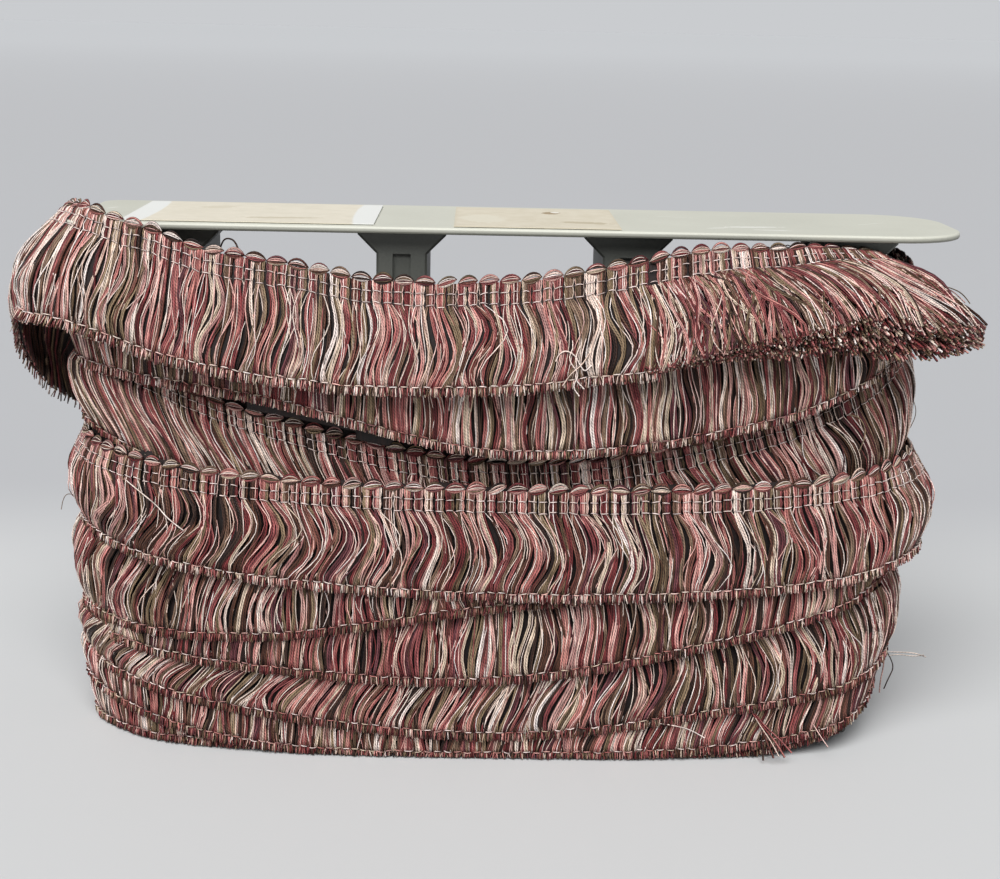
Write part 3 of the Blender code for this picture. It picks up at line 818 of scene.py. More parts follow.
def join_yarns(name, groups):
    """One piece from several groups of yarns, or nothing where there are none."""
    if not groups:
        return None
    counts = np.cumsum([0] + [len(points) for points, _faces, _places in groups])
    points, faces, places = zip(*groups)
    faces = [np.where(part >= 0, part + first, -1) for part, first in zip(faces, counts)]
    points, faces, places = (np.concatenate(parts) for parts in (points, faces, places))
    return add_piece(name, points, faces, yarn_finish, places)


# ---- The wound body under the yarns that show ----
# The turns further in, as one body of packed yarn streaked like yarns, darkened to near-black as painted
# shade for the gaps between the yarns over it. Its wall lies a little more than a yarn's thickness behind
# the outermost turn at each height, and its rim dips towards the slot for the posts. Its underside
# follows the lowest turn's foot, which lifts off the table at the right end.

BODY_IN = 1.8 * MM  # behind the turn that shows
BODY_UNDER_TOP, BODY_UNDER_FOOT = 3 * MM, 4 * MM  # below the highest top and the lowest foot
BODY_BEHIND_LOOSE = 5.5 * MM
BODY_COLUMNS, WALL_ROWS = 360, 64
SLOT_ROWS = 8
RIM = (
    # share of the way from the wall to the slot, and mm above the wall's top
    (0.0, -1.5),  # used by the headings that lie on the rim: the body has its wall's top there
    (0.22, 1.5),
    (0.6, -4.0),
    (1.0, -9.0),
)
SLOT_CORNER = 3 * MM
SLOT_HALF = (161.5 * MM, 32.3 * MM)

packed_yarn_in_painted_shade, body_tree, body_shader = new_finish("packed yarn", 0.8)
body_place = wire(body_tree, "ShaderNodeTexCoord").outputs["Object"]
body_place = wire(body_tree, "ShaderNodeMapping", [("Vector", body_place), ("Scale", (900.0, 900.0, 45.0))])
body_noise = noise(body_tree, body_place.outputs[0], 1.0, 3.0)
body_ramp = wire(body_tree, "ShaderNodeValToRGB", [("Fac", body_noise)])
# Near-black streaks: the dark of packed yarn, with painted shade for the gaps between the yarns over it.
for end, at, shade in ((0, 0.36, paint(12, 6, 6)), (1, 0.66, paint(36, 20, 17))):
    body_ramp.color_ramp.elements[end].position = at
    body_ramp.color_ramp.elements[end].color = shade
add_bump(body_tree, body_shader, body_noise, 0.8, 0.6 * MM)
body_tree.links.new(body_ramp.outputs["Color"], body_shader.inputs["Base Color"])


def slot_point(x, y):
    """The nearest point on the slot that the posts fill, a rectangle with small corners."""
    core_x = np.clip(x - posts_x, SLOT_CORNER - SLOT_HALF[0], SLOT_HALF[0] - SLOT_CORNER)
    core_y = np.clip(y - posts_y, SLOT_CORNER - SLOT_HALF[1], SLOT_HALF[1] - SLOT_CORNER)
    away_x, away_y = x - posts_x - core_x, y - posts_y - core_y
    part = SLOT_CORNER / np.hypot(away_x, away_y)
    return posts_x + core_x + part * away_x, posts_y + core_y + part * away_y


body_at = np.arange(BODY_COLUMNS) * ROUND / BODY_COLUMNS
part_round = np.mod(ROUND / 4 - body_at, ROUND) / ROUND
body_top = np.maximum(turn_height(TURN_TOPS, part_round), turn_height(TURN_TOPS, part_round + 1))
body_top = body_top - BODY_UNDER_TOP
wall_at = body_at[:, None]
wall_in = part_round[:, None]
body_foot = turn_height(TURN_FEET, part_round + len(TURN_FEET) - 1)
body_foot = np.maximum(body_foot - BODY_UNDER_FOOT, 0)
wall_z = body_foot[:, None] + (body_top - body_foot)[:, None] * np.linspace(0, 1, WALL_ROWS)
wall_out = np.full(wall_z.shape, np.nan)
# Each height takes the outermost turn that clearly covers it, or else one whose edges come near it.
for below_top, above_foot in ((4 * MM, 2 * MM), (0, -2 * MM)):
    for turn in range(len(TURN_TOPS)):
        turn_top, turn_foot = turn_edges(wall_in + turn)
        down = (turn_top - wall_z) / (turn_top - turn_foot) * FOOT_ROW
        here = (wall_z <= turn_top - below_top) & (wall_z >= turn_foot + above_foot)
        wall_out = np.where(np.isnan(wall_out) & here, wound_out(wall_in + turn, wall_at, down), wall_out)
lowest = wound_out(wall_in + len(TURN_TOPS) - 1, wall_at, 1.0)
wall_out = np.where(np.isnan(wall_out), lowest, wall_out) - BODY_IN
for loose_out, under in loose_laps(wall_at, wall_z):
    wall_out = np.where(under, np.minimum(wall_out, loose_out - BODY_BEHIND_LOOSE), wall_out)
wall_x, wall_y, _out_x, _out_y = beside_plan(np.broadcast_to(wall_at, wall_z.shape), wall_out)
slot_x, slot_y = slot_point(wall_x[:, -1], wall_y[:, -1])
rim_share, rim_rise = np.array(RIM[1:]).T  # the wall's own top is the rim's first place
rim_x = wall_x[:, -1:] + (slot_x - wall_x[:, -1])[:, None] * rim_share
rim_y = wall_y[:, -1:] + (slot_y - wall_y[:, -1])[:, None] * rim_share
rim_z = body_top[:, None] + rim_rise * MM
slot_z = body_foot[:, None] + (rim_z[:, -1] - body_foot)[:, None] * np.linspace(0.9, 0.0, SLOT_ROWS)
slot_x, slot_y = (np.repeat(part[:, None], SLOT_ROWS, 1) for part in (slot_x, slot_y))
body_points = np.stack([
    np.concatenate(parts, axis=1)
    for parts in ((wall_x, rim_x, slot_x), (wall_y, rim_y, slot_y), (wall_z, rim_z, slot_z))
], axis=-1)
number = np.arange(body_points.shape[0] * body_points.shape[1]).reshape(body_points.shape[:2])
beside, above = np.roll(number, -1, 0), np.roll(number, -1, 1)
body_faces = np.stack([number, beside, np.roll(beside, -1, 1), above], axis=-1).reshape(-1, 4)
wound_body = add_piece("wound_body", body_points.reshape(-1, 3), body_faces, packed_yarn_in_painted_shade)
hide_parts("winding")


# ---- Skirt yarns, heading loops, stitching and cut ends of every turn ----
# The fringe is made of bundles of yarn, two to each heading loop. Two rows of stitches bind the
# bundles across the heading, and one row holds them along the foot, with short cut ends below it.

BUNDLE = 4.5 * MM
LOCKS, SINGLES = 3, 3
LOCK_SPACING = 0.34  # of a bundle's width
SINGLE_PLACES = (-0.5, 0.5, -0.2, 0.2, 0.0)
SAME_YARN = 0.3  # chance that a bundle's middle lock is of the same yarn as its first
PALE_SINGLES, LOOSE_PALE_SINGLES = 0.66, 0.85  # chance that a single yarn is a pale one
# Half widths, heights and layers above the trim that the yarns are drawn from, and how far they
# wander, in mm.
LOCK_WIDTHS, LOCK_HEIGHTS, LOCK_LAYERS, LOCK_WANDER = (0.70, 1.18), (0.55, 0.85), (0.0, 0.8), 0.6
SINGLE_WIDTHS, SINGLE_LAYERS, SINGLE_WANDER = (0.30, 0.42), (0.7, 1.3), 1.2
UNDER_COVER, UNDER_TOP = 0.10, 0.24  # how far a yarn runs on under the foot or the top of the turn over it
TUCK = 2.2 * MM  # how far it is drawn in there
LOOSE_END, LOOSE_END_SPREAD = 0.93, 0.03  # where the loose turn's yarns end once the foot stitch has gone
LOOSE_YARNS_FROM = 62 * MM  # right of here the loose turn has lost the stitch along its foot
FRONT_REACH = 240 * MM  # the front, where most of the trim is seen, gets the most yarns and the smoothest

BUNDLE_SHAPE = (
    # share across the trim, width of a bundle there as a share of its room, stand-out in mm
    (0.06, 0.90, 0.0),
    (0.11, 0.88, 0.6),
    (0.155, 0.70, 0.0),
    (0.205, 0.86, 0.55),
    (0.253, 0.68, 0.0),
    (0.33, 1.02, 0.55),
    (0.50, 1.10, 0.5),
    (0.90, 1.06, 0.3),
    (0.985, 0.90, 0.0),
)
HEADING_STATIONS = (0.07, 0.11, 0.155, 0.205, 0.253, 0.30)

SWAYS = {
    # turn: rows of distance along the trim, sideways bulge half way down and shift of the foot, in mm
    -1: ((-670, 1, -2), (-460, -2, 3), (-300, 2, -2), (-230, 1, 0), (-180, 1, -3), (-120, 2, -4),
         (-60, 3, -2), (0, 4, 1), (60, 3, 3), (172, 0, 0)),
    0: ((-700, 0, 2), (-560, 3, -5), (-420, -3, 4), (-300, 2, -6), (-200, 4, -5), (-140, 6, -7),
        (-90, 7, -4), (-30, 6, 0), (30, 6, 2), (80, 4, 5), (130, 3, 6), (180, 2, 5), (230, 0, 2)),
    1: ((-700, 0, 2), (-500, 2, 4), (-300, -2, -3), (-150, 1, 3), (-60, 1, 2), (40, 1, 2), (120, 1, 3),
        (230, 0, 2)),
    2: ((-700, 0, 2), (-500, -2, 5), (-300, 2, -3), (-250, 1, 10), (-200, 1, 14), (-120, 1, 12),
        (-60, 1, 9), (20, 1, 7), (90, 3, 8), (150, 3, 4), (190, 2, 1), (230, 0, 0)),
    3: ((-700, 0, 2), (-500, 3, -4), (-300, -2, -8), (-190, -2, -13), (-120, -2, -10), (-50, -2, -4),
        (20, 0, 2), (230, 0, 2)),
    4: ((-700, 0, -2), (-500, 3, 5), (-300, -2, -8), (-160, -1, -9), (-90, -2, -9), (-20, -1, -3),
        (30, 4, 3), (80, 3, 3), (140, 2, 4), (230, 0, 2)),
    5: ((-700, 0, -2), (-500, -3, 6), (-300, -2, -12), (-170, 3, -24), (-110, 2, -26), (-50, 2, -14),
        (20, 2, -12), (60, 5, -3), (110, 4, 7), (160, 3, 8), (230, 0, 2)),
    6: ((-700, 0, -2), (-500, 2, 4), (-300, 0, 6), (-190, 3, 8), (-120, 2, 4), (-40, -2, -8),
        (40, 2, -9), (100, 4, -6), (160, 3, -3), (230, 0, 2)),
    7: ((-700, 0, 0), (230, 0, 0)),
}
WAVINESS = {1: 0.6, 2: 0.7, 4: 0.75, 6: 0.75}  # the straighter turns' share of the full waves
LEANS = {
    # turn: rows of distance along the trim and shift of the foot, in mm
    2: ((-250, 0), (-200, 6), (-60, 7), (30, 6), (90, 14), (150, 17), (190, 12), (230, 4)),
}


def ripple(along, seed, wave):
    """A slow random wave along the trim, mostly between -1 and 1: four sines of unlike lengths added."""
    draw = np.random.default_rng(seed)
    total = np.zeros_like(along)
    for _part in range(4):
        total = total + np.sin(along / wave * 2 * math.pi * draw.uniform(0.6, 1.7) + draw.uniform(0, 6.3))
    return total / 2.2


def bulge(part):
    """From 0 at both ends to 1 a little above half way, leaving quickly and arriving slowly."""
    part = np.clip(part, 0, 1)
    return 7.35 * part**1.3 * (1 - part) ** 1.6


def sway(turn, along, down):
    """How far a bundle leans sideways at this share across the trim.

    A bulge, a smooth step that shifts the foot, waves that packing pressed into the yarn (a full sine
    whose size ripples along the trim), and an even slant where the trim climbs steeply.
    """
    rows = np.array(SWAYS[turn], float)
    size, shift = (np.interp(along, rows[:, 0] * MM, column) * MM for column in rows.T[1:])
    part = np.clip(below_heading(down), 0, 1)
    waviness = WAVINESS.get(turn, 1.0)
    size = size * (1 + 0.4 * ripple(along, 31 + turn, 60 * MM))
    size = size + 1.4 * MM * waviness * ripple(along, 41 + turn, 26 * MM)
    wave = 2.1 * MM * waviness * ripple(along, 51 + turn, 32 * MM)
    lean = np.interp(along, *np.array(LEANS.get(turn, ((0, 0),))).T * MM)
    return (
        size * bulge(part)
        + shift * part * part * (3 - 2 * part)
        + wave * np.sin(2 * math.pi * part)
        + lean * down
    )


def span_seen(turn, along):
    """The shares across the trim between which a turn shows at each place, and whether it shows at all."""
    down = np.linspace(0.0, 1.06, 54)
    seen = shows(turn, along[:, None], down[None, :])
    first = down[np.argmax(seen, axis=1)]
    last = down[len(down) - 1 - np.argmax(seen[:, ::-1], axis=1)]
    return first, last, seen.any(1)


def tucked(down, first, last):
    """How far to draw a yarn in where it has run under the turn that covers it."""
    past = np.maximum(first - down, 0) / UNDER_COVER + np.maximum(down - last, 0) / UNDER_TOP
    return -np.minimum(past, 1.0) * TUCK


def bundle_places(first_at, last_at):
    """The middles of the bundles that fit between two places along the trim."""
    return first_at + BUNDLE * (0.5 + np.arange(int((last_at - first_at) / BUNDLE)))


def skirt(turn, first_at, last_at, seed, inside=False):
    """The yarns of a turn, from under its loops to the stitch along its foot."""
    draw = np.random.default_rng(seed)
    bundles = bundle_places(first_at, last_at)
    rank = np.tile(np.arange(LOCKS + SINGLES), len(bundles))
    at = np.repeat(bundles, LOCKS + SINGLES)
    single = rank >= LOCKS
    count = len(at)
    place = np.where(single, draw.choice(SINGLE_PLACES, count), (rank - 1) * LOCK_SPACING)
    share = dark_share if inside else loose_pale_and_painted_light_share if turn == LOOSE else lock_share
    kind = draw.choice(len(YARNS), count, p=share)
    kind = np.where((rank == 1) & (draw.random(count) < SAME_YARN), np.roll(kind, 1), kind)
    pale_chance = 0 if inside else LOOSE_PALE_SINGLES if turn == LOOSE else PALE_SINGLES
    pale = draw.random(count) < pale_chance
    kind = np.where(single & pale, draw.choice(PALE, count), kind)
    start = dye_starts(draw, count, 75 * MM)
    half_width = np.where(single, draw.uniform(*SINGLE_WIDTHS, count), draw.uniform(*LOCK_WIDTHS, count)) * MM
    height = np.where(single, half_width, draw.uniform(*LOCK_HEIGHTS, count) * MM)
    wander = draw.normal(0, 1, (3, count)) * np.where(single, SINGLE_WANDER, LOCK_WANDER) * MM
    wander = wander * WAVINESS.get(turn, 1.0)
    layer = np.where(single, draw.uniform(*SINGLE_LAYERS, count), draw.uniform(*LOCK_LAYERS, count)) * MM

    first, last, seen = span_seen(turn, at)
    unstitched = (turn == LOOSE) & (at > LOOSE_YARNS_FROM)
    ends = np.where(unstitched, draw.normal(LOOSE_END, LOOSE_END_SPREAD, count), 1.0)
    front = np.abs(at) < FRONT_REACH
    seen &= front | (rank < LOCKS + 1)  # one single yarn a bundle is enough at the back
    heading = first < 0.2
    span = last - first
    groups = []
    for some, lower_stations in (
        # yarns with their heading or without it, and how many places each takes below it
        (heading & front & (span > 0.5), 9),
        (heading & front & (span <= 0.5), 4),
        (heading & ~front, 5),
        (~heading & front & (span > 0.4), 9),
        (~heading & front & (span <= 0.4) & (span > 0.2), 6),
        (~heading & front & (span <= 0.2) & (span > 0.02), 4),
        (~heading & ~front & (span > 0.02), 5),
    ):
        some = some & seen
        if not some.any():
            continue
        top = np.maximum(first[some] - UNDER_COVER, HEADING_STATIONS[-1])[:, None]
        foot = np.minimum(last[some] + UNDER_TOP, ends[some])[:, None]
        foot = np.maximum(foot, top + 0.05)
        down = top + (foot - top) * np.linspace(0, 1, lower_stations)
        if heading[some].all():
            upper = HEADING_STATIONS[: -1 : 1 if front[some].all() else 2]
            down = np.concatenate([np.repeat([upper], len(down), 0), down], axis=1)
        chosen = single[some]
        shares, widths, stands = np.array(BUNDLE_SHAPE).T
        width = np.interp(down, shares, widths)
        part = np.clip(below_heading(down), 0, 1)
        in_bundle, middle = place[some][:, None], at[some][:, None]
        bow, wave, rise = wander[:, some, None]
        swing = np.sin(2 * math.pi * part)
        side = in_bundle * BUNDLE * width
        side = side + bow * bulge(part)
        side = side + wave * swing
        lift = (0.35 + np.interp(down, shares, stands)) * MM
        lift = lift + layer[some][:, None] * np.minimum(1, 0.35 + bulge(part))
        lift = lift + 0.5 * rise * swing
        lift = lift - 0.5 * MM * (2 * in_bundle) ** 2
        lift = lift + tucked(down, first[some][:, None], last[some][:, None])
        if inside:
            lift = -lift - 1.2 * MM
        swayed = sway(turn, middle + 0.7 * BUNDLE * in_bundle, down)
        paths, outward = on_turn(turn, middle + swayed + side, down, lift)
        outward = -outward if inside else outward
        wide = half_width[some][:, None] * np.where(chosen[:, None], 1.0, width)
        tall = height[some][:, None]
        groups += spin_mixed(chosen, paths, outward, wide, tall, kind[some], start[some])
    return groups


STITCH_REACH, STITCH_SPREAD = 0.39, 0.025  # half a stitch's length, in bundles
STITCH_WIDTHS = (0.26, 0.34)  # in mm, like the rises
HEADING_STITCH_RISE, FOOT_STITCH_RISE = 1.35, 1.9
LOOSE_FOOT_STITCH = 1.2  # how much thicker the loose turn's foot stitch is
STITCH_SLIP = 0.004  # how far a stitch strays from its row, as a share of the width


def stitches(turn, first_at, last_at, rows, seed):
    """Short dashes of thread over each bundle: rising out of it, across it and down again."""
    draw = np.random.default_rng(seed)
    bundles = bundle_places(first_at, last_at)
    first, last, seen = span_seen(turn, bundles)
    groups = []
    for row in rows:
        some = seen & (first < row + 0.02) & (last > row - 0.02)
        at = bundles[some][:, None]
        count = some.sum()
        across = np.linspace(-1, 1, 5)
        bow = 1 - across**2
        reach = draw.normal(STITCH_REACH, STITCH_SPREAD, (count, 1)) * BUNDLE
        down = row - (0.004 + 0.01 * draw.random((count, 1))) * bow
        down = down + draw.normal(0, STITCH_SLIP, (count, 1))
        down = down + draw.normal(0, STITCH_SLIP, (count, 1)) * across
        rise = FOOT_STITCH_RISE if row == FOOT_ROW else HEADING_STITCH_RISE
        lift = (0.3 + rise * bow**0.6) * MM + np.zeros_like(down)
        paths, outward = on_turn(turn, at + sway(turn, at, down) + across * reach, down, lift)
        start = dye_starts(draw, count, 10 * MM)
        thick = draw.uniform(*STITCH_WIDTHS, (count, 1)) * MM
        if row == FOOT_ROW and turn == LOOSE:
            thick = thick * LOOSE_FOOT_STITCH
        kind = np.full(count, THREAD)
        # Below the loose turn and the first wound one, the foot stitch takes duller yarns: painted shade
        # under the turn that overhangs it.
        if row == FOOT_ROW:
            kind = draw.choice([THREAD, *PALE] if turn in (LOOSE, 0) else [THREAD, *DULL_FOR_PAINTED_SHADE], count)
        groups += spin(SINGLE_PROFILE, paths, outward, thick, thick, kind, start)
    return groups


LOOP_YARNS = (
    # profile, rise in mm, stand-out in mm, half width in mm, thickness in mm, pale
    (LOCK_PROFILE, 2.6, 0.5, 0.55, 0.8, False),
    (LOCK_PROFILE, 1.5, 1.0, 0.55, 0.8, False),
    (SINGLE_PROFILE, 2.0, 1.5, 0.30, 0.30, True),
    (LOCK_PROFILE, 0.2, 1.2, 0.65, 0.9, False),
    (LOCK_PROFILE, -1.2, 1.0, 0.55, 0.8, False),
    (SINGLE_PROFILE, 0.9, 1.7, 0.32, 0.32, True),
    (SINGLE_PROFILE, -0.5, 1.6, 0.32, 0.32, False),
)
BACK_LOOP_YARNS = 5
LOOP_LINE = 0.058  # the share across the trim where a loop's yarns part and meet
LOOP_HALF = 4.2 * MM


def heading_loops(turn, first_at, last_at, seed):
    """The loops along the top: yarns that part from one point, arch over each other and meet again.

    Each rises like half a sine, only fuller, tapers to both ends and bulges out of the heading, and
    the whole lens leans a little.
    """
    draw = np.random.default_rng(seed)
    loops = bundle_places(first_at, last_at)[1::2] - BUNDLE / 2
    first, _last, seen = span_seen(turn, loops)
    loops = loops[seen & (first < 0.08)]
    loops = np.concatenate([loops[np.abs(loops) < FRONT_REACH], loops[np.abs(loops) >= FRONT_REACH]])
    front = (np.abs(loops) < FRONT_REACH).sum()
    count = len(loops)
    t = np.linspace(0, 1, 8)
    arch = np.sin(math.pi * t) ** 0.75
    lean = draw.normal(0.06 if turn == LOOSE else 0.14, 0.10, (count, 1))
    shades = draw.choice(len(YARNS), (len(LOOP_YARNS), count), p=lock_share)
    grown = draw.normal(1, 0.07, (count, 1))
    groups = []
    for number, (profile, rise, stand, half_width, thickness, pale) in enumerate(LOOP_YARNS):
        across = LOOP_HALF * (2 * t - 1) * draw.normal(1, 0.04, (count, 1))
        up = (rise + draw.normal(0, 0.2, (count, 1))) * MM * arch * grown + lean * across
        down = LOOP_LINE - up / STRIP_WIDTH
        lift = (0.2 + stand * arch**0.6) * MM + np.zeros_like(down)
        paths, outward = on_turn(turn, loops[:, None] + across, down, lift)
        taper = 0.45 + 0.55 * arch
        kind = draw.choice(PALE, count) if pale else shades[number]
        start = dye_starts(draw, count, 30 * MM)
        drawn = slice(count if number < BACK_LOOP_YARNS else front)
        groups += spin(profile, paths[drawn], outward[drawn], half_width * MM * taper,
                       thickness * MM * taper, kind[drawn], start[drawn])
    return groups


CUT_ENDS, BACK_CUT_ENDS = 12, 5  # for each bundle
CUT_WIDTHS = (0.30, 0.46)  # in mm
CUT_SHORTEST, CUT_LONGEST, OUTER_CUT_LONGEST = 0.056, 0.074, 0.088  # as shares of the trim's width
tip_share = lock_share + np.isin(np.arange(len(YARNS)), PALE) * 0.06
tip_share = tip_share / tip_share.sum()


def cut_ends(turn, first_at, last_at, seed):
    """Short cut ends below the stitch along the foot, splayed a little and uneven in length."""
    draw = np.random.default_rng(seed)
    bundles = bundle_places(first_at, last_at)
    seen = shows(turn, bundles, np.full(len(bundles), FOOT_ROW + 0.01))
    groups = []
    for front, ends in ((True, CUT_ENDS), (False, BACK_CUT_ENDS)):
        some = np.repeat(bundles[seen & ((np.abs(bundles) < FRONT_REACH) == front)], ends)
        count = len(some)
        place = np.tile((np.arange(ends) - (ends - 1) / 2) / ends, count // ends)
        place = place + draw.normal(0, 0.05, count)
        part = np.array([0.0, 1.0])
        longest = CUT_LONGEST if turn > 0 else OUTER_CUT_LONGEST
        down = FOOT_ROW + 0.002 + draw.uniform(CUT_SHORTEST, longest, (count, 1)) * part
        lift = (0.4 + 1.3 * draw.random((count, 1)) + draw.normal(0.3, 0.3, (count, 1)) * part) * MM
        at = some[:, None]
        side = place[:, None] * BUNDLE + draw.normal(0, 0.22, (count, 1)) * MM * (2 * part - 1)
        paths, outward = on_turn(turn, at + sway(turn, at, np.minimum(down, 1.0)) + side, down, lift)
        kind = draw.choice(len(YARNS), count, p=tip_share if turn in (LOOSE, 0, 1) else foot_share)
        start = dye_starts(draw, count, 20 * MM)
        thick = draw.uniform(*CUT_WIDTHS, (count, 1)) * MM
        groups += spin(SINGLE_PROFILE, paths, outward, thick, thick, kind, start)
    return groups


for turn in range(len(TURN_TOPS)):
    turn_first = ROUND / 4 - ROUND
    turn_last = ROUND / 4 + (22 * MM if turn == 0 else 0.0)
    name = f"turn_{turn + 1}"
    join_yarns(name + "_skirt", skirt(turn, turn_first, turn_last, 100 + turn))
    join_yarns(
        name + "_heading",
        heading_loops(turn, turn_first, turn_last, 200 + turn)
        + stitches(turn, turn_first, turn_last, (FIRST_ROW, SECOND_ROW), 300 + turn),
    )
    join_yarns(
        name + "_foot",
        stitches(turn, turn_first, turn_last, (FOOT_ROW,), 400 + turn)
        + cut_ends(turn, turn_first, turn_last, 500 + turn),
    )


# ---- Headings of the inner turns, on the rim round the posts ----
# Between the turn on top and the posts lie the headings of the turns wound before it, edge up, like
# rings of rope. Each ring has a loop of two yarns for every loop of the trim.

RINGS = 6
RING_FROM, RING_PITCH = 2.0 * MM, 4.3 * MM


def rim_rings(seed):
    """Loops of two yarns along each ring, set in from the top turn's edge and following the rim's dip."""
    draw = np.random.default_rng(seed)
    t = np.linspace(0, 1, 5)
    groups = []
    for ring in range(RINGS):
        shrink = 1 - (8 * MM + ring * RING_PITCH) * 2 * math.pi / ROUND
        loops = ROUND / 4 - np.arange(int(ROUND * shrink / (2 * BUNDLE))) * 2 * BUNDLE / shrink
        loops = loops + draw.uniform(0, 5) * MM
        count = len(loops)
        turns_in = np.mod(ROUND / 4 - loops, ROUND) / ROUND
        tops = turn_height(TURN_TOPS, turns_in), turn_height(TURN_TOPS, turns_in + 1)
        highest = turns_in + (tops[1] > tops[0])
        edge = wound_out(highest, loops, 0.0)
        edge_x, edge_y, _out_x, _out_y = beside_plan(loops, edge)
        slot_x, slot_y = slot_point(edge_x, edge_y)
        room = np.hypot(edge_x - slot_x, edge_y - slot_y)
        inwards = np.minimum(RING_FROM + ring * RING_PITCH, room * (0.1 + 0.85 * ring / RINGS))
        height = np.maximum(*tops) - BODY_UNDER_TOP + np.interp(inwards / room, *zip(*RIM)) * MM
        for rise, half_width, profile, pale in (
            (2.4, 0.9, LOCK_PROFILE, False),
            (3.0, 0.36, SINGLE_PROFILE, True),
        ):
            along = loops[:, None] + 2 * BUNDLE / shrink * 0.52 * (2 * t - 1)
            crest = height[:, None] + (rise * np.sin(math.pi * t) - 0.8) * MM
            crest = crest + draw.normal(0, 0.4, (count, 1)) * MM
            lift = (edge - inwards)[:, None] + draw.normal(0, 0.4, (count, 1)) * MM * (2 * t - 1)
            lift = lift + (0.5 * MM if pale else 0.0)
            x, y, out_x, out_y = beside_plan(along, lift)
            outward = np.stack([0.35 * out_x, 0.35 * out_y, np.ones_like(out_x)], axis=-1)
            kind = draw.choice(PALE, count) if pale else draw.choice(len(YARNS), count, p=lock_share)
            start = dye_starts(draw, count, 30 * MM)
            thick = half_width * MM * (0.5 + 0.5 * np.sin(math.pi * t))
            groups += spin(profile, np.stack([x, y, crest], axis=-1), outward, thick, thick, kind, start)
    return groups


join_yarns("rim_headings", rim_rings(90))


# ---- The loose outer turn ----
# The last turn of the trim stands off the rest. A thin mat backs it, in the same near-black packed-yarn
# finish, painted shade for the gaps between its yarns, and to the right it has lost the stitch along its
# foot, so its yarns fan out there like a brush.

MAT_FRONT, MAT_BACK = 0.1 * MM, -0.9 * MM
MAT_FROM, MAT_TO, MAT_TO_LOOSE = 0.09, 0.97, 0.80

mat_along = np.linspace(LOOSE_FIRST, LOOSE_LAST, 190)
mat_to = np.interp(mat_along, (LOOSE_YARNS_FROM, LOOSE_LAST), (MAT_TO, MAT_TO_LOOSE))
grid_along, grid_down = np.meshgrid(mat_along, np.linspace(0, 1, 11), indexing="ij")
grid_down = MAT_FROM + grid_down * (mat_to[:, None] - MAT_FROM)
front_points, _out = on_turn(LOOSE, grid_along, grid_down, MAT_FRONT)
back_points, _out = on_turn(LOOSE, grid_along, grid_down, MAT_BACK)
mat_points = np.concatenate([front_points.reshape(-1, 3), back_points.reshape(-1, 3)])
number = np.arange(grid_along.size).reshape(grid_along.shape)
front_faces = np.stack([number[:-1, :-1], number[:-1, 1:], number[1:, 1:], number[1:, :-1]], axis=-1)
front_faces = front_faces.reshape(-1, 4)
back_faces = front_faces[:, [0, 3, 2, 1]] + grid_along.size
rim = np.concatenate([number[:-1, 0], number[-1, :-1], number[:0:-1, -1], number[0, :0:-1]])
ahead_rim = np.roll(rim, -1)
edge_faces = np.stack([rim, ahead_rim, ahead_rim + grid_along.size, rim + grid_along.size], axis=-1)
mat_faces = np.concatenate([front_faces, back_faces, edge_faces])
# The mat takes the near-black finish of the wound body: painted shade behind the loose turn's yarns.
outer_mat = add_piece("outer_mat", mat_points, mat_faces, packed_yarn_in_painted_shade)

BRUSH_DEPTH = (
    # place, and how far before the longest yarns the top ones are cut, as a share of the width
    (60, 0.03), (79, 0.10), (100, 0.14), (112, 0.18), (125, 0.25), (138, 0.25), (150, 0.20), (172, 0.12),
)
BRUSH_TOP, BRUSH_STUBS = 18, 64  # yarns a bundle in the top layer, and cut ends that show under it
BRUSH_FROM = 0.27  # the share across the trim where the top layer starts
BRUSH_SINGLES, BRUSH_PALE = 0.6, 0.52  # share of single yarns, and the chance that one of them is pale
BRUSH_RISE = 58 * MM  # what yarns cut short by the whole width would stand out; less in proportion


def brush_lift(share_cut, part):
    """How far a layer of the brush stands out, where its yarns are cut short by this share of the width."""
    return BRUSH_RISE * share_cut * part**1.2


def loose_yarns(seed):
    """The yarns past the end of the foot stitch, which splay at their tips, the higher ones cut sooner."""
    draw = np.random.default_rng(seed)
    at = np.repeat(bundle_places(LOOSE_YARNS_FROM - BUNDLE, LOOSE_LAST), BRUSH_TOP)
    count = len(at)
    single = draw.random(count) < BRUSH_SINGLES
    share_cut = np.interp(at / MM, *zip(*BRUSH_DEPTH)) * draw.uniform(0.7, 1.0, count)
    ends = 1.0 - share_cut + draw.normal(0, 0.012, count)
    down = BRUSH_FROM + (ends - BRUSH_FROM)[:, None] * np.linspace(0, 1, 10)
    part = below_heading(down)
    side = draw.uniform(-0.5, 0.5, (count, 1)) * BUNDLE
    side = side + draw.normal(0, 2.4, (count, 1)) * MM * bulge(part)
    side = side + draw.normal(0, 1.9, (count, 1)) * MM * np.sin(2 * math.pi * part)
    side = side + draw.normal(0, 1.6, (count, 1)) * MM * part**3
    lift = (0.5 + draw.uniform(0, 1.4, (count, 1)) * np.minimum(4 * part, 1)) * MM
    lift = lift + brush_lift(share_cut[:, None], part) + draw.normal(0, 0.5, (count, 1)) * MM * part**4
    place = at[:, None]
    paths, outward = on_turn(LOOSE, place + side + sway(LOOSE, place, down), down, lift)
    kind = draw.choice(len(YARNS), count, p=lock_share)
    kind = np.where(single & (draw.random(count) < BRUSH_PALE), draw.choice(PALE, count), kind)
    tip = draw.choice(len(YARNS), count, p=tip_share)
    start = dye_starts(draw, count, 75 * MM)
    wide = np.where(single, draw.uniform(0.32, 0.48, count), draw.uniform(0.5, 0.85, count))[:, None] * MM
    tall = np.where(single[:, None], wide, 0.65 * MM)
    return spin_mixed(single, paths, outward, wide, tall, kind, start, tip)


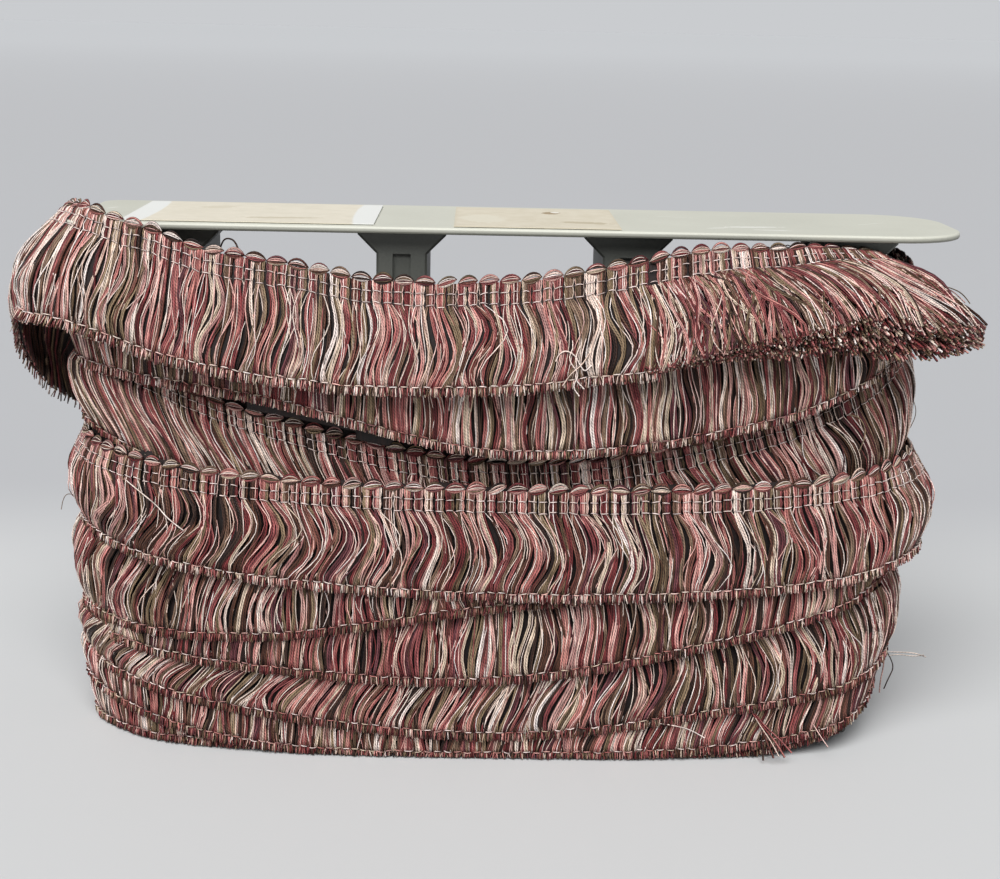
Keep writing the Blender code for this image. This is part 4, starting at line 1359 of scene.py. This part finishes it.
def brush_stubs(seed):
    """The last few millimetres of the brush's lower yarns, which turn outwards and show their cut ends."""
    draw = np.random.default_rng(seed)
    at = np.repeat(bundle_places(LOOSE_YARNS_FROM - BUNDLE, LOOSE_LAST), BRUSH_STUBS)
    at = at + draw.uniform(-0.5, 0.5, len(at)) * BUNDLE
    count = len(at)
    share_cut = np.interp(at / MM, *zip(*BRUSH_DEPTH)) * draw.uniform(0, 1, count)
    ends = (1.0 - share_cut + draw.normal(0, 0.010, count))[:, None]
    run = np.array([-1.0, -0.5, 0.0])
    down = ends + 0.05 * run
    part = below_heading(ends)
    lift = (0.8 + draw.normal(0, 0.6, (count, 1)) + draw.uniform(4, 6, (count, 1)) * run) * MM
    lift = lift + brush_lift(share_cut[:, None], part)
    paths, _outward = on_turn(LOOSE, at[:, None] + draw.normal(0, 1.2, (count, 1)) * MM * run, down, lift)
    kind = draw.choice(len(YARNS), count, p=lock_share)
    tip = draw.choice(len(YARNS), count, p=foot_share)
    thick = draw.uniform(0.45, 0.7, (count, 1)) * MM
    start = dye_starts(draw, count, 20 * MM)
    return spin(SINGLE_PROFILE, paths, np.broadcast_to(upward, paths.shape), thick, thick, kind, start, tip)


outer_pieces = [
    join_yarns("outer_skirt_yarns", skirt(LOOSE, LOOSE_FIRST, LOOSE_YARNS_FROM, 99)
               + skirt(LOOSE, LOOSE_FIRST + 250 * MM, LOOSE_FIRST + 460 * MM, 94, inside=True)),
    join_yarns("outer_loose_yarns", skirt(LOOSE, LOOSE_YARNS_FROM, LOOSE_LAST, 93) + loose_yarns(92)
               + brush_stubs(91)),
    join_yarns(
        "outer_heading_loops",
        heading_loops(LOOSE, LOOSE_FIRST, LOOSE_LAST, 98)
        + stitches(LOOSE, LOOSE_FIRST, LOOSE_LAST, (FIRST_ROW, SECOND_ROW), 97),
    ),
    join_yarns(
        "outer_foot",
        stitches(LOOSE, LOOSE_FIRST, LOOSE_YARNS_FROM, (FOOT_ROW,), 96)
        + cut_ends(LOOSE, LOOSE_FIRST, LOOSE_YARNS_FROM, 95),
    ),
]
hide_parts("outer_heading", "outer_skirt")


# ---- Stray threads ----
# A few yarn ends have come loose: a curl off the left end, a fork off the right one, a small tassel at
# the foot, a tangle on the loose turn and some single threads.

STRAYS = (
    # yarn, half thickness in mm, then the thread's places: round the roll, height and stand-out, in mm
    ("charcoal", 0.45, ((-123, 228, 0), (-122, 231, -1), (-120, 232, -1), (-117, 231, -1), (-115, 227, 0))),
    ("ivory", 0.5, ((20, 185, 14), (21, 188, 14), (24, 190, 14), (28, 188, 15), (30, 184, 15), (32, 181, 16),
                    (35, 184, 15))),
    ("ivory", 0.5, ((30, 192, 14), (28, 187, 15), (29, 182, 15), (28, 178, 16), (32, 174, 17))),
    ("cream", 0.45, ((23, 175, 16), (26, 180, 16), (31, 184, 15), (34, 189, 14))),
    ("ivory", 0.45, ((27, 191, 14), (25, 186, 15), (30, 180, 16), (27, 175, 17), (30, 171, 17))),
    ("linen", 0.45, ((-167, 123, 4), (-160, 119, 5), (-151, 114, 7), (-147, 109, 7), (-139, 104, 8))),
    ("ivory", 0.45, ((-225, 113, -2), (-225, 110, -1), (-225, 106, 1), (-225, 103, 3))),
    ("taupe", 0.22, ((-228, 102, 3), (-228, 103, 7), (-228, 100, 9), (-228, 95, 10))),
    ("charcoal", 0.35, ((222, 32, -11), (222, 29, -9), (222, 24, -7), (222, 19, -9), (222, 13, -11))),
    ("mauve", 0.4, ((222, 31, -12), (222, 24, -12), (222, 17, -13), (222, 11, -13))),
    ("linen", 0.3, ((222, 32, -10), (222, 32, -5), (222, 32, 2), (222, 30, 8))),
    ("linen", 0.25, ((222, 30, -10), (222, 31, -5), (222, 30, 2), (222, 31, 7))),
    ("taupe", 0.22, ((222, 165, -14), (222, 161, -10), (222, 153, -6), (222, 148, -6), (222, 143, -8))),
    ("charcoal", 0.22, ((205, 226, -24), (205, 228, -22), (205, 227, -19), (205, 223, -17))),
    ("olive", 0.4, ((153, 158, -2), (158, 157, -2), (161, 152, -1), (160, 147, 0), (158, 142, 0))),
    ("ivory", 0.35, ((142, 155, -2), (146, 153, -1), (150, 150, 0), (155, 146, 0))),
    ("clay", 0.6, ((114, 22, 2), (117, 18, 7), (119, 11, 10), (122, 4, 12))),
    ("madder", 0.6, ((114, 22, 3), (118, 17, 7), (123, 11, 10), (127, 4, 12))),
    ("rose", 0.5, ((115, 22, 3), (119, 17, 7), (125, 12, 10), (130, 6, 12))),
    ("cream", 0.4, ((114, 22, 2), (117, 17, 8), (121, 11, 11), (124, 5, 13))),
    ("charcoal", 0.5, ((118, 12, 4), (118, 7, 8), (118, 2, 10))),
    ("shell", 0.35, ((143, 15, 3), (144, 12, 8), (147, 7, 11))),
    ("ivory", 0.4, ((71, 18, 3), (77, 18, 5), (85, 16, 5), (92, 12, 6))),
    ("blush", 0.3, ((179, 219, 2), (184, 216, 4), (196, 213, 6), (206, 209, 7), (208, 205, 11))),
    ("olive", 0.3, ((184, 217, 3), (195, 214, 6), (206, 210, 9), (212, 204, 13))),
)


def stray(name, half_thickness, places):
    """A round thread through these places, its corners cut three times over so that it bends softly."""
    path = np.array(places, float) * MM
    for _cut in range(3):
        near, far = path[:-1] * 0.75 + path[1:] * 0.25, path[:-1] * 0.25 + path[1:] * 0.75
        path = np.concatenate([path[:1], np.stack([near, far], axis=1).reshape(-1, 3), path[-1:]])
    x, y, out_x, out_y = beside_plan(path[:, 0], path[:, 2])
    paths = np.stack([x, y, path[:, 1]], axis=-1)[None]
    outward = np.stack([out_x, out_y, np.full(len(x), 0.6)], axis=-1)[None]
    thick = np.full((1, 1), half_thickness * MM)
    return spin(SINGLE_PROFILE, paths, outward, thick, thick, [yarn_names.index(name)], [0.1])


join_yarns("stray_threads", [group for row in STRAYS for group in stray(*row)])
